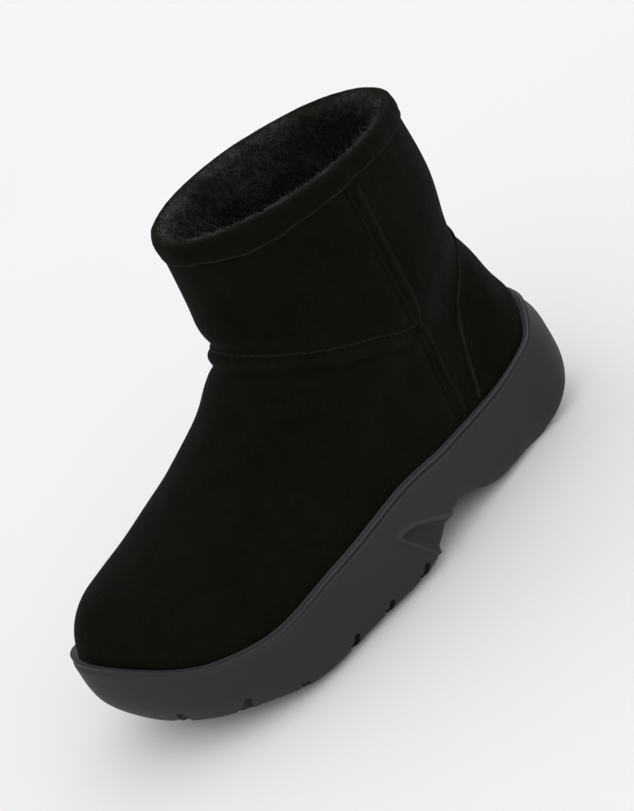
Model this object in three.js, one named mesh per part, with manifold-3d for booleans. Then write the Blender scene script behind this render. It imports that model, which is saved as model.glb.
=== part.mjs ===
// Sheepskin ankle boot for the left foot: a hollow, fleece-lined upper on a moulded rocker sole.
// Millimetres, +Z up, +X towards the toe, +Y towards the outer side of the foot.
// The boot is drawn with x = 0 at the back of the sole and then moved so that the origin is
// at the bottom centre of its box.

import * as THREE from "three";
import * as BufferGeometryUtils from "three/addons/utils/BufferGeometryUtils.js";
import Module from "manifold-3d";

// ---------------------------------------------------------------- driving dimensions

const SOLE_LENGTH = 284;
const SOLE_WIDTH = 107;
const BALL_WIDTH = 95;
const INSTEP_HEIGHT = 107;
const COLLAR_HEIGHT = 188;
const COLLAR_BACK = COLLAR_HEIGHT - 5; // the collar dips towards the heel
const WALL = 7; // suede and the fleece behind it
const OVERLAY = 1.3; // suede laid over suede
const WELT = 2.4; // height of the padded band over the ankle seam
const GAP = 0.3; // left between pieces that lie against each other
const INSOLE_THICKNESS = 5;

const COLUMNS = 56; // points round every ring
const BACK = 0; // position of the heel round a ring
const TOE = 0.5; // position of the toe round a ring

// ---------------------------------------------------------------- tables

// The last seen from above: share of the length and of the half width, outer side first.
const LAST_OUTLINE = [
  { along: 0.0, across: 0.0 },
  { along: 0.055, across: 0.49 },
  { along: 0.17, across: 0.56 },
  { along: 0.36, across: 0.8 },
  { along: 0.5, across: 0.98 },
  { along: 0.64, across: 1.0 },
  { along: 0.8, across: 1.01 },
  { along: 0.935, across: 0.62 },
  { along: 1.0, across: -0.06 },
  { along: 0.965, across: -0.61 },
  { along: 0.87, across: -0.92 },
  { along: 0.73, across: -1.0 },
  { along: 0.58, across: -0.88 },
  { along: 0.4, across: -0.7 },
  { along: 0.18, across: -0.7 },
  { along: 0.055, across: -0.5 },
];

// Heights along the boot: x is a share of the sole length, z is in millimetres.
const TREAD_LINE = [
  { x: 0.0, z: 30 },
  { x: 0.022, z: 11.6 },
  { x: 0.065, z: 5.6 },
  { x: 0.12, z: 0 },
  { x: 0.248, z: 0 },
  { x: 0.28, z: 2.8 },
  { x: 0.354, z: 13.2 },
  { x: 0.384, z: 13.9 },
  { x: 0.419, z: 7.8 },
  { x: 0.448, z: 3.2 },
  { x: 0.497, z: 0 },
  { x: 0.67, z: 0 },
  { x: 0.745, z: 1 },
  { x: 0.834, z: 6 },
  { x: 0.915, z: 9.7 },
  { x: 1.0, z: 15 },
];
const LIP_LINE = [
  { x: 0.0, z: 60 },
  { x: 0.035, z: 58.8 },
  { x: 0.094, z: 46.8 },
  { x: 0.199, z: 39 },
  { x: 0.338, z: 41 },
  { x: 0.477, z: 46 },
  { x: 0.626, z: 41.2 },
  { x: 0.765, z: 38.3 },
  { x: 0.87, z: 41.8 },
  { x: 1.0, z: 59.5 },
];
const SEAT_LINE = [
  { x: 0.0, z: 33 },
  { x: 0.2, z: 30 },
  { x: 0.35, z: 28.5 },
  { x: 0.5, z: 25 },
  { x: 0.65, z: 21.5 },
  { x: 0.8, z: 22 },
  { x: 1.0, z: 32 },
];

// Sections of the upper from the seat to the collar. heel and toe are shares of the sole length,
// heelZ and toeZ the height at each end, width a share of the ball width, oval how far the section
// has turned from the last's outline into an oval, and lip how much of the lip line's sweep it keeps;
// oval and lip are 0 where they are not given.
const UPPER_SECTIONS = [
  { name: "seat", heel: 0.045, toe: 0.963, width: 0.98 },
  { name: "lip", heel: 0.033, toe: 0.987, width: 1.015 },
  { name: "toe wall", heel: 0.05, heelZ: 76, toe: 0.945, toeZ: 75.8, width: 0.97, oval: 0.05, lip: 0.8 },
  { name: "toe top", heel: 0.064, heelZ: 91, toe: 0.853, toeZ: 79, width: 0.902, oval: 0.25, lip: 0.5 },
  { name: "vamp", heel: 0.075, heelZ: 99, toe: 0.744, toeZ: 88.6, width: 0.885, oval: 0.6, lip: 0.2 },
  { name: "instep", heel: 0.086, heelZ: 106, toe: 0.623, toeZ: INSTEP_HEIGHT, width: 0.9, oval: 0.9 },
  { name: "ankle", heel: 0.088, heelZ: 117, toe: 0.543, toeZ: 126.5, width: 0.917, oval: 1 },
  { name: "shaft", heel: 0.072, heelZ: 145, toe: 0.539, toeZ: 147, width: 0.95, oval: 1 },
  { name: "top", heel: 0.077, heelZ: COLLAR_BACK, toe: 0.529, toeZ: COLLAR_HEIGHT, width: 0.955, oval: 1 },
];
const LIP = 1 / (UPPER_SECTIONS.length - 1); // where the lip section lies on the way up

// Sections of the sole's side: height is the share of the way from the tread line to the lip line.
const SOLE_SECTIONS = [
  { name: "tread", height: 0.0, heel: 0.073, toe: 0.926, width: 0.81 },
  { name: "edge", height: 0.12, heel: 0.006, toe: 0.956, width: 0.935 },
  { name: "bulge", height: 0.45, heel: 0.0, toe: 0.994, width: 0.992 },
  { name: "upper side", height: 0.85, heel: 0.014, toe: 1.0, width: 0.99 },
  { name: "bevel", height: 0.94, heel: 0.017, toe: 0.997, width: 0.984 },
  { name: "lip", height: 1.0, heel: 0.022, toe: 0.998, width: 0.967 },
];

// The seams on one side of the boot.
const SIDE_SEAM = [
  { x: 76.8, z: 44.5 },
  { x: 75.4, z: 66 },
  { x: 75.6, z: 86 },
  { x: 80, z: 108 },
  { x: 80.8, z: 130 },
  { x: 80.8, z: 172 },
];
const ANKLE_SEAM = [
  { x: 88.5, z: 98.5 },
  { x: 108.5, z: 108 },
  { x: 131, z: 117 },
  { x: 147, z: 125 },
];
const COUNTER_EDGE = [
  { x: 65.3, z: 44 },
  { x: 60.3, z: 57 },
  { x: 53.8, z: 76 },
  { x: 45.2, z: 90.5 },
  { x: 34.2, z: 103.7 },
];
const COUNTER_TOP = 112; // at the middle of the back
const ANKLE_SEAM_FRONT = 128.5; // at the middle of the front

// ---------------------------------------------------------------- curves

/** Smooth height along the boot through a table's rows, without overshoot between them. */
function heightLine(table) {
  const xs = table.map((row) => row.x * SOLE_LENGTH);
  const zs = table.map((row) => row.z);
  const slopes = xs.slice(1).map((x, i) => (zs[i + 1] - zs[i]) / (x - xs[i]));
  const tangents = zs.map((_, i) => {
    const before = slopes[Math.max(i - 1, 0)];
    const after = slopes[Math.min(i, slopes.length - 1)];
    return before * after > 0 ? (2 * before * after) / (before + after) : 0;
  });
  return (x) => {
    const inside = THREE.MathUtils.clamp(x, xs[0], xs.at(-1));
    const i = Math.max(xs.findIndex((end) => inside <= end), 1) - 1;
    const run = xs[i + 1] - xs[i];
    const t = (inside - xs[i]) / run;
    const rise = zs[i + 1] - zs[i];
    const ease = t * t * (3 - 2 * t);
    const lead = t * (1 - t) * (1 - t) * run * tangents[i];
    const tail = t * t * (t - 1) * run * tangents[i + 1];
    return zs[i] + ease * rise + lead + tail;
  };
}

const treadHeight = heightLine(TREAD_LINE);
const lipHeight = heightLine(LIP_LINE);
const seatHeight = heightLine(SEAT_LINE);

/** A closed spline through the last's outline, scaled to run from 0 to 1 and from -1 to 1. */
function lastOutline() {
  const corners = LAST_OUTLINE.map((row) => new THREE.Vector3(row.along, row.across, 0));
  const curve = new THREE.CatmullRomCurve3(corners, true, "catmullrom");
  const box = new THREE.Box3().setFromPoints(curve.getPoints(720));
  const size = box.getSize(new THREE.Vector3());
  return (u) => {
    const point = curve.getPoint(THREE.MathUtils.euclideanModulo(u, 1));
    const along = (point.x - box.min.x) / size.x;
    const across = (2 * (point.y - box.min.y)) / size.y - 1;
    return { along, across };
  };
}

const outline = lastOutline();

/** One point of a section seen from above, between the last's outline and an oval. */
function planPoint(section, u, width) {
  const last = outline(u);
  const turn = 2 * Math.PI * u;
  const along = THREE.MathUtils.lerp(last.along, (1 - Math.cos(turn)) / 2, section.oval ?? 0);
  const across = THREE.MathUtils.lerp(last.across, Math.sin(turn), section.oval ?? 0);
  const x = THREE.MathUtils.lerp(section.heel, section.toe, along) * SOLE_LENGTH;
  const y = (across * section.width * width) / 2;
  return { x, y, along };
}

/** Height of an upper section at x: straight from heel to toe, plus its share of the lip's sweep. */
function upperHeight(section, x, along) {
  if (section.name === "seat") return seatHeight(x);
  if (section.name === "lip") return lipHeight(x);
  const lipAtHeel = lipHeight(section.heel * SOLE_LENGTH);
  const lipAtToe = lipHeight(section.toe * SOLE_LENGTH);
  const sweep = lipHeight(x) - THREE.MathUtils.lerp(lipAtHeel, lipAtToe, along);
  return THREE.MathUtils.lerp(section.heelZ, section.toeZ, along) + (section.lip ?? 0) * sweep;
}

/** The curve up the upper's outside at the place u round it. */
function upperLine(u) {
  const points = UPPER_SECTIONS.map((section) => {
    const { x, y, along } = planPoint(section, u, BALL_WIDTH);
    return new THREE.Vector3(x, y, upperHeight(section, x, along));
  });
  return new THREE.CatmullRomCurve3(points, false, "catmullrom");
}

/** A point of the upper at u round and v up, moved out from its surface by a distance. */
function onUpper(u, v, outward = 0) {
  const step = 0.004;
  const line = upperLine(u);
  const point = line.getPoint(v);
  if (outward === 0) return point;
  const round = upperLine(u + step).getPoint(v).sub(upperLine(u - step).getPoint(v));
  const above = line.getPoint(Math.min(v + step, 1));
  const up = above.sub(line.getPoint(Math.max(v - step, 0)));
  return point.addScaledVector(up.cross(round).normalize(), outward);
}

/** The value between low and high at which a rising function reaches its target. */
function solve(rising, target, low, high) {
  let bottom = low;
  let top = high;
  for (let i = 0; i < 24; i += 1) {
    const middle = (bottom + top) / 2;
    if (rising(middle) < target) bottom = middle;
    else top = middle;
  }
  return (bottom + top) / 2;
}

/** The u and v of the place at x and z on one side of the upper: side is 1 outer, -1 inner. */
function locate({ x, z }, side) {
  let u = TOE / 2;
  let v = 0.5;
  for (let i = 0; i < 12; i += 1) {
    u = solve((t) => upperLine(side * t).getPoint(v).x, x, BACK, TOE);
    v = solve((t) => upperLine(side * u).getPoint(t).z, z, 0, 1);
  }
  return new THREE.Vector2(side * u, v);
}

/** A smooth path of u and v through places given by x and z on one side. */
function seamPath(places, side, ends = []) {
  const points = [...places.map((place) => locate(place, side)), ...ends];
  return new THREE.SplineCurve(points);
}

/** v at which the line up the upper at u reaches a height. */
function levelAt(u, z) {
  return solve((t) => upperLine(u).getPoint(t).z, z, 0, 1);
}

// ---------------------------------------------------------------- solids

/** Evenly spaced numbers from first to last, both included. */
function spread(first, last, count) {
  return Array.from({ length: count }, (_, i) => first + ((last - first) * i) / (count - 1));
}

/** Points all the way round, from a function of u. */
function ring(pointAt) {
  return Array.from({ length: COLUMNS }, (_, i) => pointAt(i / COLUMNS));
}

/**
 * A closed body from rings of equally many points, each joined to the next. The ends are capped by
 * rungs from one side of the ring to the other, or the last ring is joined to the first.
 */
function loft(rings, { joined = false } = {}) {
  const count = rings[0].length;
  const positions = rings.flat().flatMap((point) => [point.x, point.y, point.z]);
  const index = [];
  const at = (row, column) => (row % rings.length) * count + (column % count);
  const steps = joined ? rings.length : rings.length - 1;
  for (let row = 0; row < steps; row += 1) {
    for (let column = 0; column < count; column += 1) {
      const corner = at(row, column);
      const beside = at(row, column + 1);
      const above = at(row + 1, column);
      const across = at(row + 1, column + 1);
      index.push(corner, above, beside, beside, above, across);
    }
  }
  const cap = (row, flip) => {
    for (let near = 0; near < count / 2; near += 1) {
      const far = count - near;
      const rungs = [
        [at(row, near), at(row, near + 1), at(row, far)],
        [at(row, near + 1), at(row, far - 1), at(row, far)],
      ];
      for (const [a, b, c] of rungs) {
        if (a === b || b === c || a === c) continue;
        index.push(...(flip ? [a, c, b] : [a, b, c]));
      }
    }
  };
  if (!joined) {
    cap(0, false);
    cap(rings.length - 1, true);
  }
  const geometry = new THREE.BufferGeometry();
  geometry.setAttribute("position", new THREE.Float32BufferAttribute(positions, 3));
  geometry.setIndex(index);
  return geometry;
}

const manifold = await Module();
manifold.setup();

/** A three.js geometry as a manifold-3d solid. */
function toSolid(geometry) {
  const bare = new THREE.BufferGeometry();
  bare.setAttribute("position", geometry.getAttribute("position").clone());
  if (geometry.index) bare.setIndex(geometry.index.clone());
  const merged = BufferGeometryUtils.mergeVertices(bare, 1e-4);
  const vertProperties = Float32Array.from(merged.getAttribute("position").array);
  const triVerts = Uint32Array.from(merged.index.array);
  return new manifold.Manifold(new manifold.Mesh({ numProp: 3, vertProperties, triVerts }));
}

/** A manifold-3d solid as a three.js geometry. */
function toGeometry(solid) {
  const mesh = solid.getMesh();
  const geometry = new THREE.BufferGeometry();
  geometry.setAttribute("position", new THREE.BufferAttribute(mesh.vertProperties, 3));
  geometry.setIndex(new THREE.BufferAttribute(mesh.triVerts, 1));
  return geometry;
}

// ---------------------------------------------------------------- upper

const UPPER_ROWS = 22;
const INNER_ROWS = 12;
const CUP_ROWS = 4;
const RIM_DROP = 0.005; // share of the way up by which the wall's rounded rim stands above its sides

/** The hollow upper: up the outside, over the rim and down the inside. */
function upperGeometry() {
  const levels = [...spread(0, LIP, CUP_ROWS).slice(0, -1), ...spread(LIP, 1 - RIM_DROP, UPPER_ROWS)];
  const outside = levels.map((v) => ring((u) => onUpper(u, v)));
  const rim = [0.25, 0.75].map((share) => ring((u) => onUpper(u, 1, -WALL * share)));
  const inside = spread(1 - RIM_DROP, 0, INNER_ROWS).map((v) => ring((u) => onUpper(u, v, -WALL)));
  return loft([...outside, ...rim, ...inside], { joined: true });
}

// ---------------------------------------------------------------- sole

const SOLE_ROWS = 12;
const GROOVE_WIDTH = 4;
const GROOVE_DEPTH = 3.2;
const GROOVES = [0.505, 0.589, 0.673, 0.777, 0.868, 0.935];
const RECESS_DEPTH = 4; // at the arch
// The hollow in the side of the arch: from its tip back along its upper edge, then down to the tread.
const RECESS = [
  { x: 146, z: 30.5 },
  { x: 136, z: 28.5 },
  { x: 122, z: 20.5 },
  { x: 109, z: 11 },
  { x: 127, z: 3 },
];

/** The curve up the sole's side at the place u round it. */
function soleLine(u) {
  const points = SOLE_SECTIONS.map((section) => {
    const { x, y } = planPoint(section, u, SOLE_WIDTH);
    return new THREE.Vector3(x, y, THREE.MathUtils.lerp(treadHeight(x), lipHeight(x), section.height));
  });
  return new THREE.CatmullRomCurve3(points, false, "catmullrom");
}

/** A bar across the tread, square to the tread line, that cuts one groove. */
function grooveBar(share) {
  const x = share * SOLE_LENGTH;
  const slope = Math.atan2(treadHeight(x + 2) - treadHeight(x - 2), 4);
  const height = 30;
  const bar = new THREE.BoxGeometry(GROOVE_WIDTH, SOLE_WIDTH * 1.2, height);
  bar.translate(0, 0, GROOVE_DEPTH - height / 2);
  bar.rotateY(-slope);
  bar.translate(x, 0, treadHeight(x));
  return toSolid(bar);
}

/** Distance of the sole's side from its middle plane at x: side is 1 outer, -1 inner. */
function halfWidthAt(x, side) {
  const halfway = 0.45;
  const u = solve((t) => soleLine(side * t).getPoint(halfway).x, x, BACK, TOE);
  return side * soleLine(side * u).getPoint(halfway).y;
}

/** A slanting block that cuts the hollow in one side: flush at its tip, deepest at the arch. */
function recessWedge(side) {
  const tip = RECESS[0];
  const back = Math.min(...RECESS.map((corner) => corner.x));
  const face = new THREE.Shape(RECESS.map((corner) => new THREE.Vector2(corner.x - tip.x, corner.z)));
  const reach = 40;
  const wedge = new THREE.ExtrudeGeometry(face, { depth: reach, bevelEnabled: false });
  const atTip = halfWidthAt(tip.x, side);
  const slope = (atTip - halfWidthAt(back, side) + RECESS_DEPTH) / (tip.x - back);
  wedge.rotateX(Math.PI / 2);
  wedge.translate(0, side > 0 ? reach : 0, 0);
  wedge.applyMatrix4(new THREE.Matrix4().makeShear(side * slope, 0, 0, 0, 0, 0));
  wedge.translate(tip.x, side * atTip, 0);
  return toSolid(wedge);
}

/** The moulded sole: up its side, over the lip and down into the cup that holds the upper. */
function soleGeometry() {
  const side = spread(0, 1, SOLE_ROWS).map((v) => ring((u) => soleLine(u).getPoint(v)));
  const cup = spread(LIP, 0, CUP_ROWS).map((v) => ring((u) => onUpper(u, v, GAP)));
  const floor = cup.at(-1);
  floor.forEach((point) => {
    point.z -= GAP;
  });
  const blank = toSolid(loft([...side, ...cup]));
  const cutters = [...GROOVES.map(grooveBar), recessWedge(1), recessWedge(-1)];
  return toGeometry(cutters.reduce((solid, cutter) => solid.subtract(cutter), blank));
}

// ---------------------------------------------------------------- insole

/** The padded insole: it lies on the sole inside the upper's bottom edge. */
function insoleGeometry() {
  const edge = (drop, lift) =>
    ring((u) => {
      const point = onUpper(u, 0, -WALL - GAP - drop);
      point.z = seatHeight(point.x) + lift;
      return point;
    });
  return loft([edge(0.6, 0), edge(0, INSOLE_THICKNESS * 0.4), edge(1.8, INSOLE_THICKNESS)]);
}

// ---------------------------------------------------------------- overlays

/**
 * The outline of an overlay cut across it, from its edge a to its edge b: out over the top and back
 * along its underside, which stays clear of the upper by the gap.
 */
function overlayRing(a, b, thickness, points, clearance = GAP) {
  const shares = spread(0, 1, points);
  const top = shares.map((share) => {
    const place = a.clone().lerp(b, share);
    const fullness = Math.min(1, 0.55 + 0.45 * Math.sqrt(Math.sin(Math.PI * share)));
    return onUpper(place.x, place.y, clearance + thickness * fullness);
  });
  const underside = shares.toReversed().map((share) => {
    const place = a.clone().lerp(b, share);
    return onUpper(place.x, place.y, clearance);
  });
  return [...top, ...underside];
}

const SEAM_STEP = 0.01; // small move round or up the upper, to measure how far a share of it reaches
const STRIP_WIDTH = 8;
const STRIP_STATIONS = 17;

/** The tape over one side seam, from the binding down to the lip. */
function sideStripGeometry(side) {
  const path = seamPath(SIDE_SEAM, side);
  const rings = spread(0, 1, STRIP_STATIONS).map((t) => {
    const place = path.getPoint(t);
    const ahead = onUpper(place.x + SEAM_STEP, place.y);
    const behind = onUpper(place.x - SEAM_STEP, place.y);
    const reach = (STRIP_WIDTH * SEAM_STEP) / ahead.distanceTo(behind);
    const back = new THREE.Vector2(place.x - reach, place.y);
    const front = new THREE.Vector2(place.x + reach, place.y);
    return overlayRing(back, front, OVERLAY, 5);
  });
  return loft(rings);
}

const WELT_WIDTH = 9;
const WELT_STATIONS = 27;

/** The padded band over the ankle seam, from one side strip round the front to the other. */
function ankleSeamGeometry() {
  const front = new THREE.Vector2(TOE, levelAt(TOE, ANKLE_SEAM_FRONT));
  const outer = ANKLE_SEAM.map((place) => locate(place, 1));
  const inner = ANKLE_SEAM.map((place) => locate(place, -1));
  inner.forEach((place) => {
    place.x += 1;
  });
  const path = new THREE.SplineCurve([...outer, front, ...inner.toReversed()]);
  const rings = spread(0, 1, WELT_STATIONS).map((t) => {
    const place = path.getPoint(t);
    const higher = onUpper(place.x, place.y + SEAM_STEP);
    const lower = onUpper(place.x, place.y - SEAM_STEP);
    const reach = (WELT_WIDTH * SEAM_STEP) / higher.distanceTo(lower);
    const below = new THREE.Vector2(place.x, place.y - reach);
    const above = new THREE.Vector2(place.x, place.y + reach);
    return overlayRing(above, below, WELT, 6, GAP * 2);
  });
  return loft(rings);
}

const COUNTER_ROWS = 14;
const COUNTER_TIP = 0.02; // half the counter's width round the ring at its top

/** The heel counter: it covers the back between its two curved edges. */
function heelCounterGeometry() {
  const top = new THREE.Vector2(COUNTER_TIP, levelAt(BACK, COUNTER_TOP));
  const edge = seamPath(COUNTER_EDGE, 1, [top]);
  const rings = spread(0, 1, COUNTER_ROWS).map((t) => {
    const outer = edge.getPoint(t);
    const inner = new THREE.Vector2(-outer.x, outer.y);
    return overlayRing(inner, outer, OVERLAY, 17, GAP * 1.5);
  });
  return loft(rings);
}

const BINDING_DEPTH = 0.027; // share of the way up that the binding covers

/** The folded band round the collar: up the outside and over the rim. */
function collarBindingGeometry() {
  const low = 1 - BINDING_DEPTH;
  const profile = [
    { v: low, outward: GAP },
    { v: low, outward: GAP + OVERLAY * 0.6 },
    { v: low + 0.005, outward: GAP + OVERLAY },
    { v: 1 - RIM_DROP, outward: GAP + OVERLAY },
    { v: 1, outward: -0.5, lift: 1.7 },
    { v: 1, outward: -WALL * 0.5, lift: 2.2 },
    { v: 1, outward: -WALL * 0.5, lift: 0.6 },
    { v: 1, outward: -1.0, lift: 0.6 },
    { v: 1 - RIM_DROP * 0.5, outward: GAP },
  ];
  const rings = profile.map(({ v, outward, lift = 0 }) =>
    ring((u) => {
      const point = onUpper(u, v, outward);
      point.z += lift;
      return point;
    }),
  );
  return loft(rings, { joined: true });
}

// ---------------------------------------------------------------- assembly

const suede = new THREE.MeshStandardMaterial({ color: 0x151412, roughness: 0.95, metalness: 0 });
const binding = new THREE.MeshStandardMaterial({ color: 0x1a1916, roughness: 0.95, metalness: 0 });
const rubber = new THREE.MeshStandardMaterial({ color: 0x2e2e2e, roughness: 0.75, metalness: 0 });
const fleece = new THREE.MeshStandardMaterial({ color: 0x1b1b1d, roughness: 1, metalness: 0 });

const PIECES = [
  { name: "sole", geometry: soleGeometry(), material: rubber },
  { name: "upper", geometry: upperGeometry(), material: suede },
  { name: "insole", geometry: insoleGeometry(), material: fleece },
  { name: "heel_counter", geometry: heelCounterGeometry(), material: suede },
  { name: "side_strip_lateral", geometry: sideStripGeometry(1), material: suede },
  { name: "side_strip_medial", geometry: sideStripGeometry(-1), material: suede },
  { name: "ankle_seam_band", geometry: ankleSeamGeometry(), material: suede },
  { name: "collar_binding", geometry: collarBindingGeometry(), material: binding },
];

const boot = new THREE.Group();
boot.name = "sheepskin_ankle_boot";
boot.position.x = -SOLE_LENGTH / 2;
for (const { name, geometry, material } of PIECES) {
  const mesh = new THREE.Mesh(geometry, material);
  mesh.name = name;
  boot.add(mesh);
}
boot.updateMatrixWorld(true);

export default boot;
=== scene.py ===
"""Sheepskin ankle boot: fine surfaces, seams, fleece and studio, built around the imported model.

Metres in Blender; the boot's own sizes are in millimetres and are turned into metres when a mesh is
made. In those sizes x runs forwards from the back of the sole, y to the outer side and z up.
"""

import math

import bmesh
import bpy
import numpy as np
from mathutils import Matrix, Vector, noise


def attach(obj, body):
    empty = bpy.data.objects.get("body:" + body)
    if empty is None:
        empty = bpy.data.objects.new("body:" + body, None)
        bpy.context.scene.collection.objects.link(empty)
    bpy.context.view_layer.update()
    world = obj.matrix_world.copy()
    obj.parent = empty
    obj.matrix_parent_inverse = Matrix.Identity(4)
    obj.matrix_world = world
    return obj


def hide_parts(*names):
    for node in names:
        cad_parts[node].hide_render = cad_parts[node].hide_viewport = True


bl_info = {
    "name": "Sheepskin Ankle Boot",
    "version": (1, 0, 0),
    "blender": (4, 5, 0),
    "location": "View3D > Sidebar > Boot",
    "description": "Builds a fleece-lined suede ankle boot on a moulded rocker sole",
    "category": "Add Mesh",
}

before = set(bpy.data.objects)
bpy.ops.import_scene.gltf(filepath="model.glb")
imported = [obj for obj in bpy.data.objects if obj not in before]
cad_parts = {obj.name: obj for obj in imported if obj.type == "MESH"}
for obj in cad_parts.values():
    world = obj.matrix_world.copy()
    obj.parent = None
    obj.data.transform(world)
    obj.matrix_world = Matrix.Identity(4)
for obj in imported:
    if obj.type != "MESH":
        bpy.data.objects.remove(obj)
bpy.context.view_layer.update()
BODY = "root"
MM = 0.001

# ---------------------------------------------------------------- sizes in millimetres

SOLE_LENGTH = 284.0
SOLE_WIDTH = 107.0
BALL_WIDTH = 95.0
INSTEP_HEIGHT = 107.0
COLLAR_HEIGHT = 188.0
COLLAR_BACK = COLLAR_HEIGHT - 5  # the collar dips towards the heel
WALL = 7.0  # suede and the fleece behind it
SUEDE = 1.6  # the suede alone
FIT = 0.3  # the air between two pieces that lie on each other
TOE = 0.5  # place of the toe round a ring that starts at the heel

LAST_OUTLINE = np.array(
    [
        (0.0, 0.0),
        (0.055, 0.49),
        (0.17, 0.56),
        (0.36, 0.8),
        (0.5, 0.98),
        (0.64, 1.0),
        (0.8, 1.01),
        (0.935, 0.62),
        (1.0, -0.06),
        (0.965, -0.61),
        (0.87, -0.92),
        (0.73, -1.0),
        (0.58, -0.88),
        (0.4, -0.7),
        (0.18, -0.7),
        (0.055, -0.5),
    ]
)  # share of the length and of the half width, outer side first

# Rows of x as a share of the sole's length and z in millimetres.
TREAD_LINE = (
    (0.0, 30),
    (0.022, 11.6),
    (0.065, 5.6),
    (0.12, 0),
    (0.248, 0),
    (0.28, 2.8),
    (0.354, 13.2),
    (0.384, 13.9),
    (0.419, 7.8),
    (0.448, 3.2),
    (0.497, 0),
    (0.67, 0),
    (0.745, 1),
    (0.834, 6),
    (0.915, 9.7),
    (1.0, 15),
)
LIP_LINE = (
    (0.0, 60),
    (0.035, 58.8),
    (0.094, 46.8),
    (0.199, 39),
    (0.338, 41),
    (0.477, 46),
    (0.626, 41.2),
    (0.765, 38.3),
    (0.87, 41.8),
    (1.0, 59.5),
)
SEAT_LINE = ((0.0, 33), (0.2, 30), (0.35, 28.5), (0.5, 25), (0.65, 21.5), (0.8, 22), (1.0, 32))

# Columns: heel and toe as shares of the sole's length, height at each, share of the ball width,
# oval (0 the last's outline, 1 an oval) and how much of the lip line's sweep the section keeps.
UPPER_SECTIONS = (
    {"name": "seat", "heel": 0.045, "toe": 0.963, "width": 0.98, "oval": 0.0},
    {"name": "lip", "heel": 0.033, "toe": 0.987, "width": 1.015, "oval": 0.0},
    {"heel": 0.05, "heel_z": 76, "toe": 0.945, "toe_z": 75.8, "width": 0.97, "oval": 0.05, "lip": 0.8},
    {"heel": 0.064, "heel_z": 91, "toe": 0.853, "toe_z": 79, "width": 0.902, "oval": 0.25, "lip": 0.5},
    {"heel": 0.075, "heel_z": 99, "toe": 0.744, "toe_z": 88.6, "width": 0.885, "oval": 0.6, "lip": 0.2},
    {"heel": 0.086, "heel_z": 106, "toe": 0.623, "toe_z": INSTEP_HEIGHT, "width": 0.9, "oval": 0.9, "lip": 0},
    {"heel": 0.088, "heel_z": 117, "toe": 0.543, "toe_z": 126.5, "width": 0.917, "oval": 1.0, "lip": 0},
    {"heel": 0.072, "heel_z": 145, "toe": 0.539, "toe_z": 147, "width": 0.95, "oval": 1.0, "lip": 0},
    {
        "heel": 0.077,
        "heel_z": COLLAR_BACK,
        "toe": 0.529,
        "toe_z": COLLAR_HEIGHT,
        "width": 0.955,
        "oval": 1.0,
        "lip": 0,
    },
)
LIP = 1 / (len(UPPER_SECTIONS) - 1)

# Columns: share of the way up from the tread line to the lip line, heel, toe, share of the width.
SOLE_SECTIONS = (
    (0.0, 0.073, 0.926, 0.81),
    (0.12, 0.006, 0.956, 0.935),
    (0.45, 0.0, 0.994, 0.992),
    (0.85, 0.014, 1.0, 0.99),
    (0.94, 0.017, 0.997, 0.984),
    (1.0, 0.022, 0.998, 0.967),
)
GROOVES = (0.505, 0.589, 0.673, 0.777, 0.868, 0.935)
NOTCH_TOPS = (9.0, 8.0, 8.5, 6.5, 18.5, 24.0)  # height of the notch at each groove's outer end
GROOVE_WIDTH = 4.0
GROOVE_DEPTH = 6.0
NOTCH = (3.0, 13.0)  # a notch's width at its top and its depth into the side
NOTCH_FLARE = 2.6  # how much wider it is at its foot
NOTCH_LEAN = math.radians(-26)  # its top leans back towards the heel
NOTCH_LEVEL = 0.2  # where on the sole's side it is placed, as v

SIDE_SEAM = ((76.8, 43), (75.4, 66), (75.6, 86), (80, 108), (80.8, 130), (80.8, 173.5))
ANKLE_SEAM = ((85.5, 96.8), (108.5, 108), (131, 117), (147, 125))
ANKLE_SEAM_FRONT = 128.5
COUNTER_EDGE = ((65.3, 42.5), (60.3, 57), (53.8, 76), (45.2, 90.5), (34.2, 103.7))
COUNTER_TOP = 112.0

RECESS_TOP = np.array([(147.2, 31), (142, 31.2), (135.9, 29.4), (126, 23.8), (115.5, 16.6), (107, 10)])
RECESS_BOTTOM = np.array([(147.2, 31), (141, 22), (134.6, 12.6), (128, 5), (125, 1)])
RECESS_DEPTH = 2.2
RECESS_BACK = 100  # nothing of the recess lies behind this
RECESS_FRONT = 147  # where its two edges meet
RECESS_CEILING = 35
LIP_GROOVE = 1.6  # below the lip's edge
LIP_GROOVE_DEPTH = 0.75
LIP_GROOVE_REACH = 0.42

TAPE_REACH = 3.9  # half the width of a side tape
WELT_REACH = 4.8  # half the width of the ankle welt
BINDING_DEPTH = 0.027  # of the way up the upper, as v
FLEECE_BEHIND = 1.2  # how far behind the suede the lining's back lies
FLEECE_LEVEL = 0.66  # from here up hairs stand on the fleece, as v
SEWING_GAP = 0.35  # how deep an overlay is let into the suede

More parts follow.
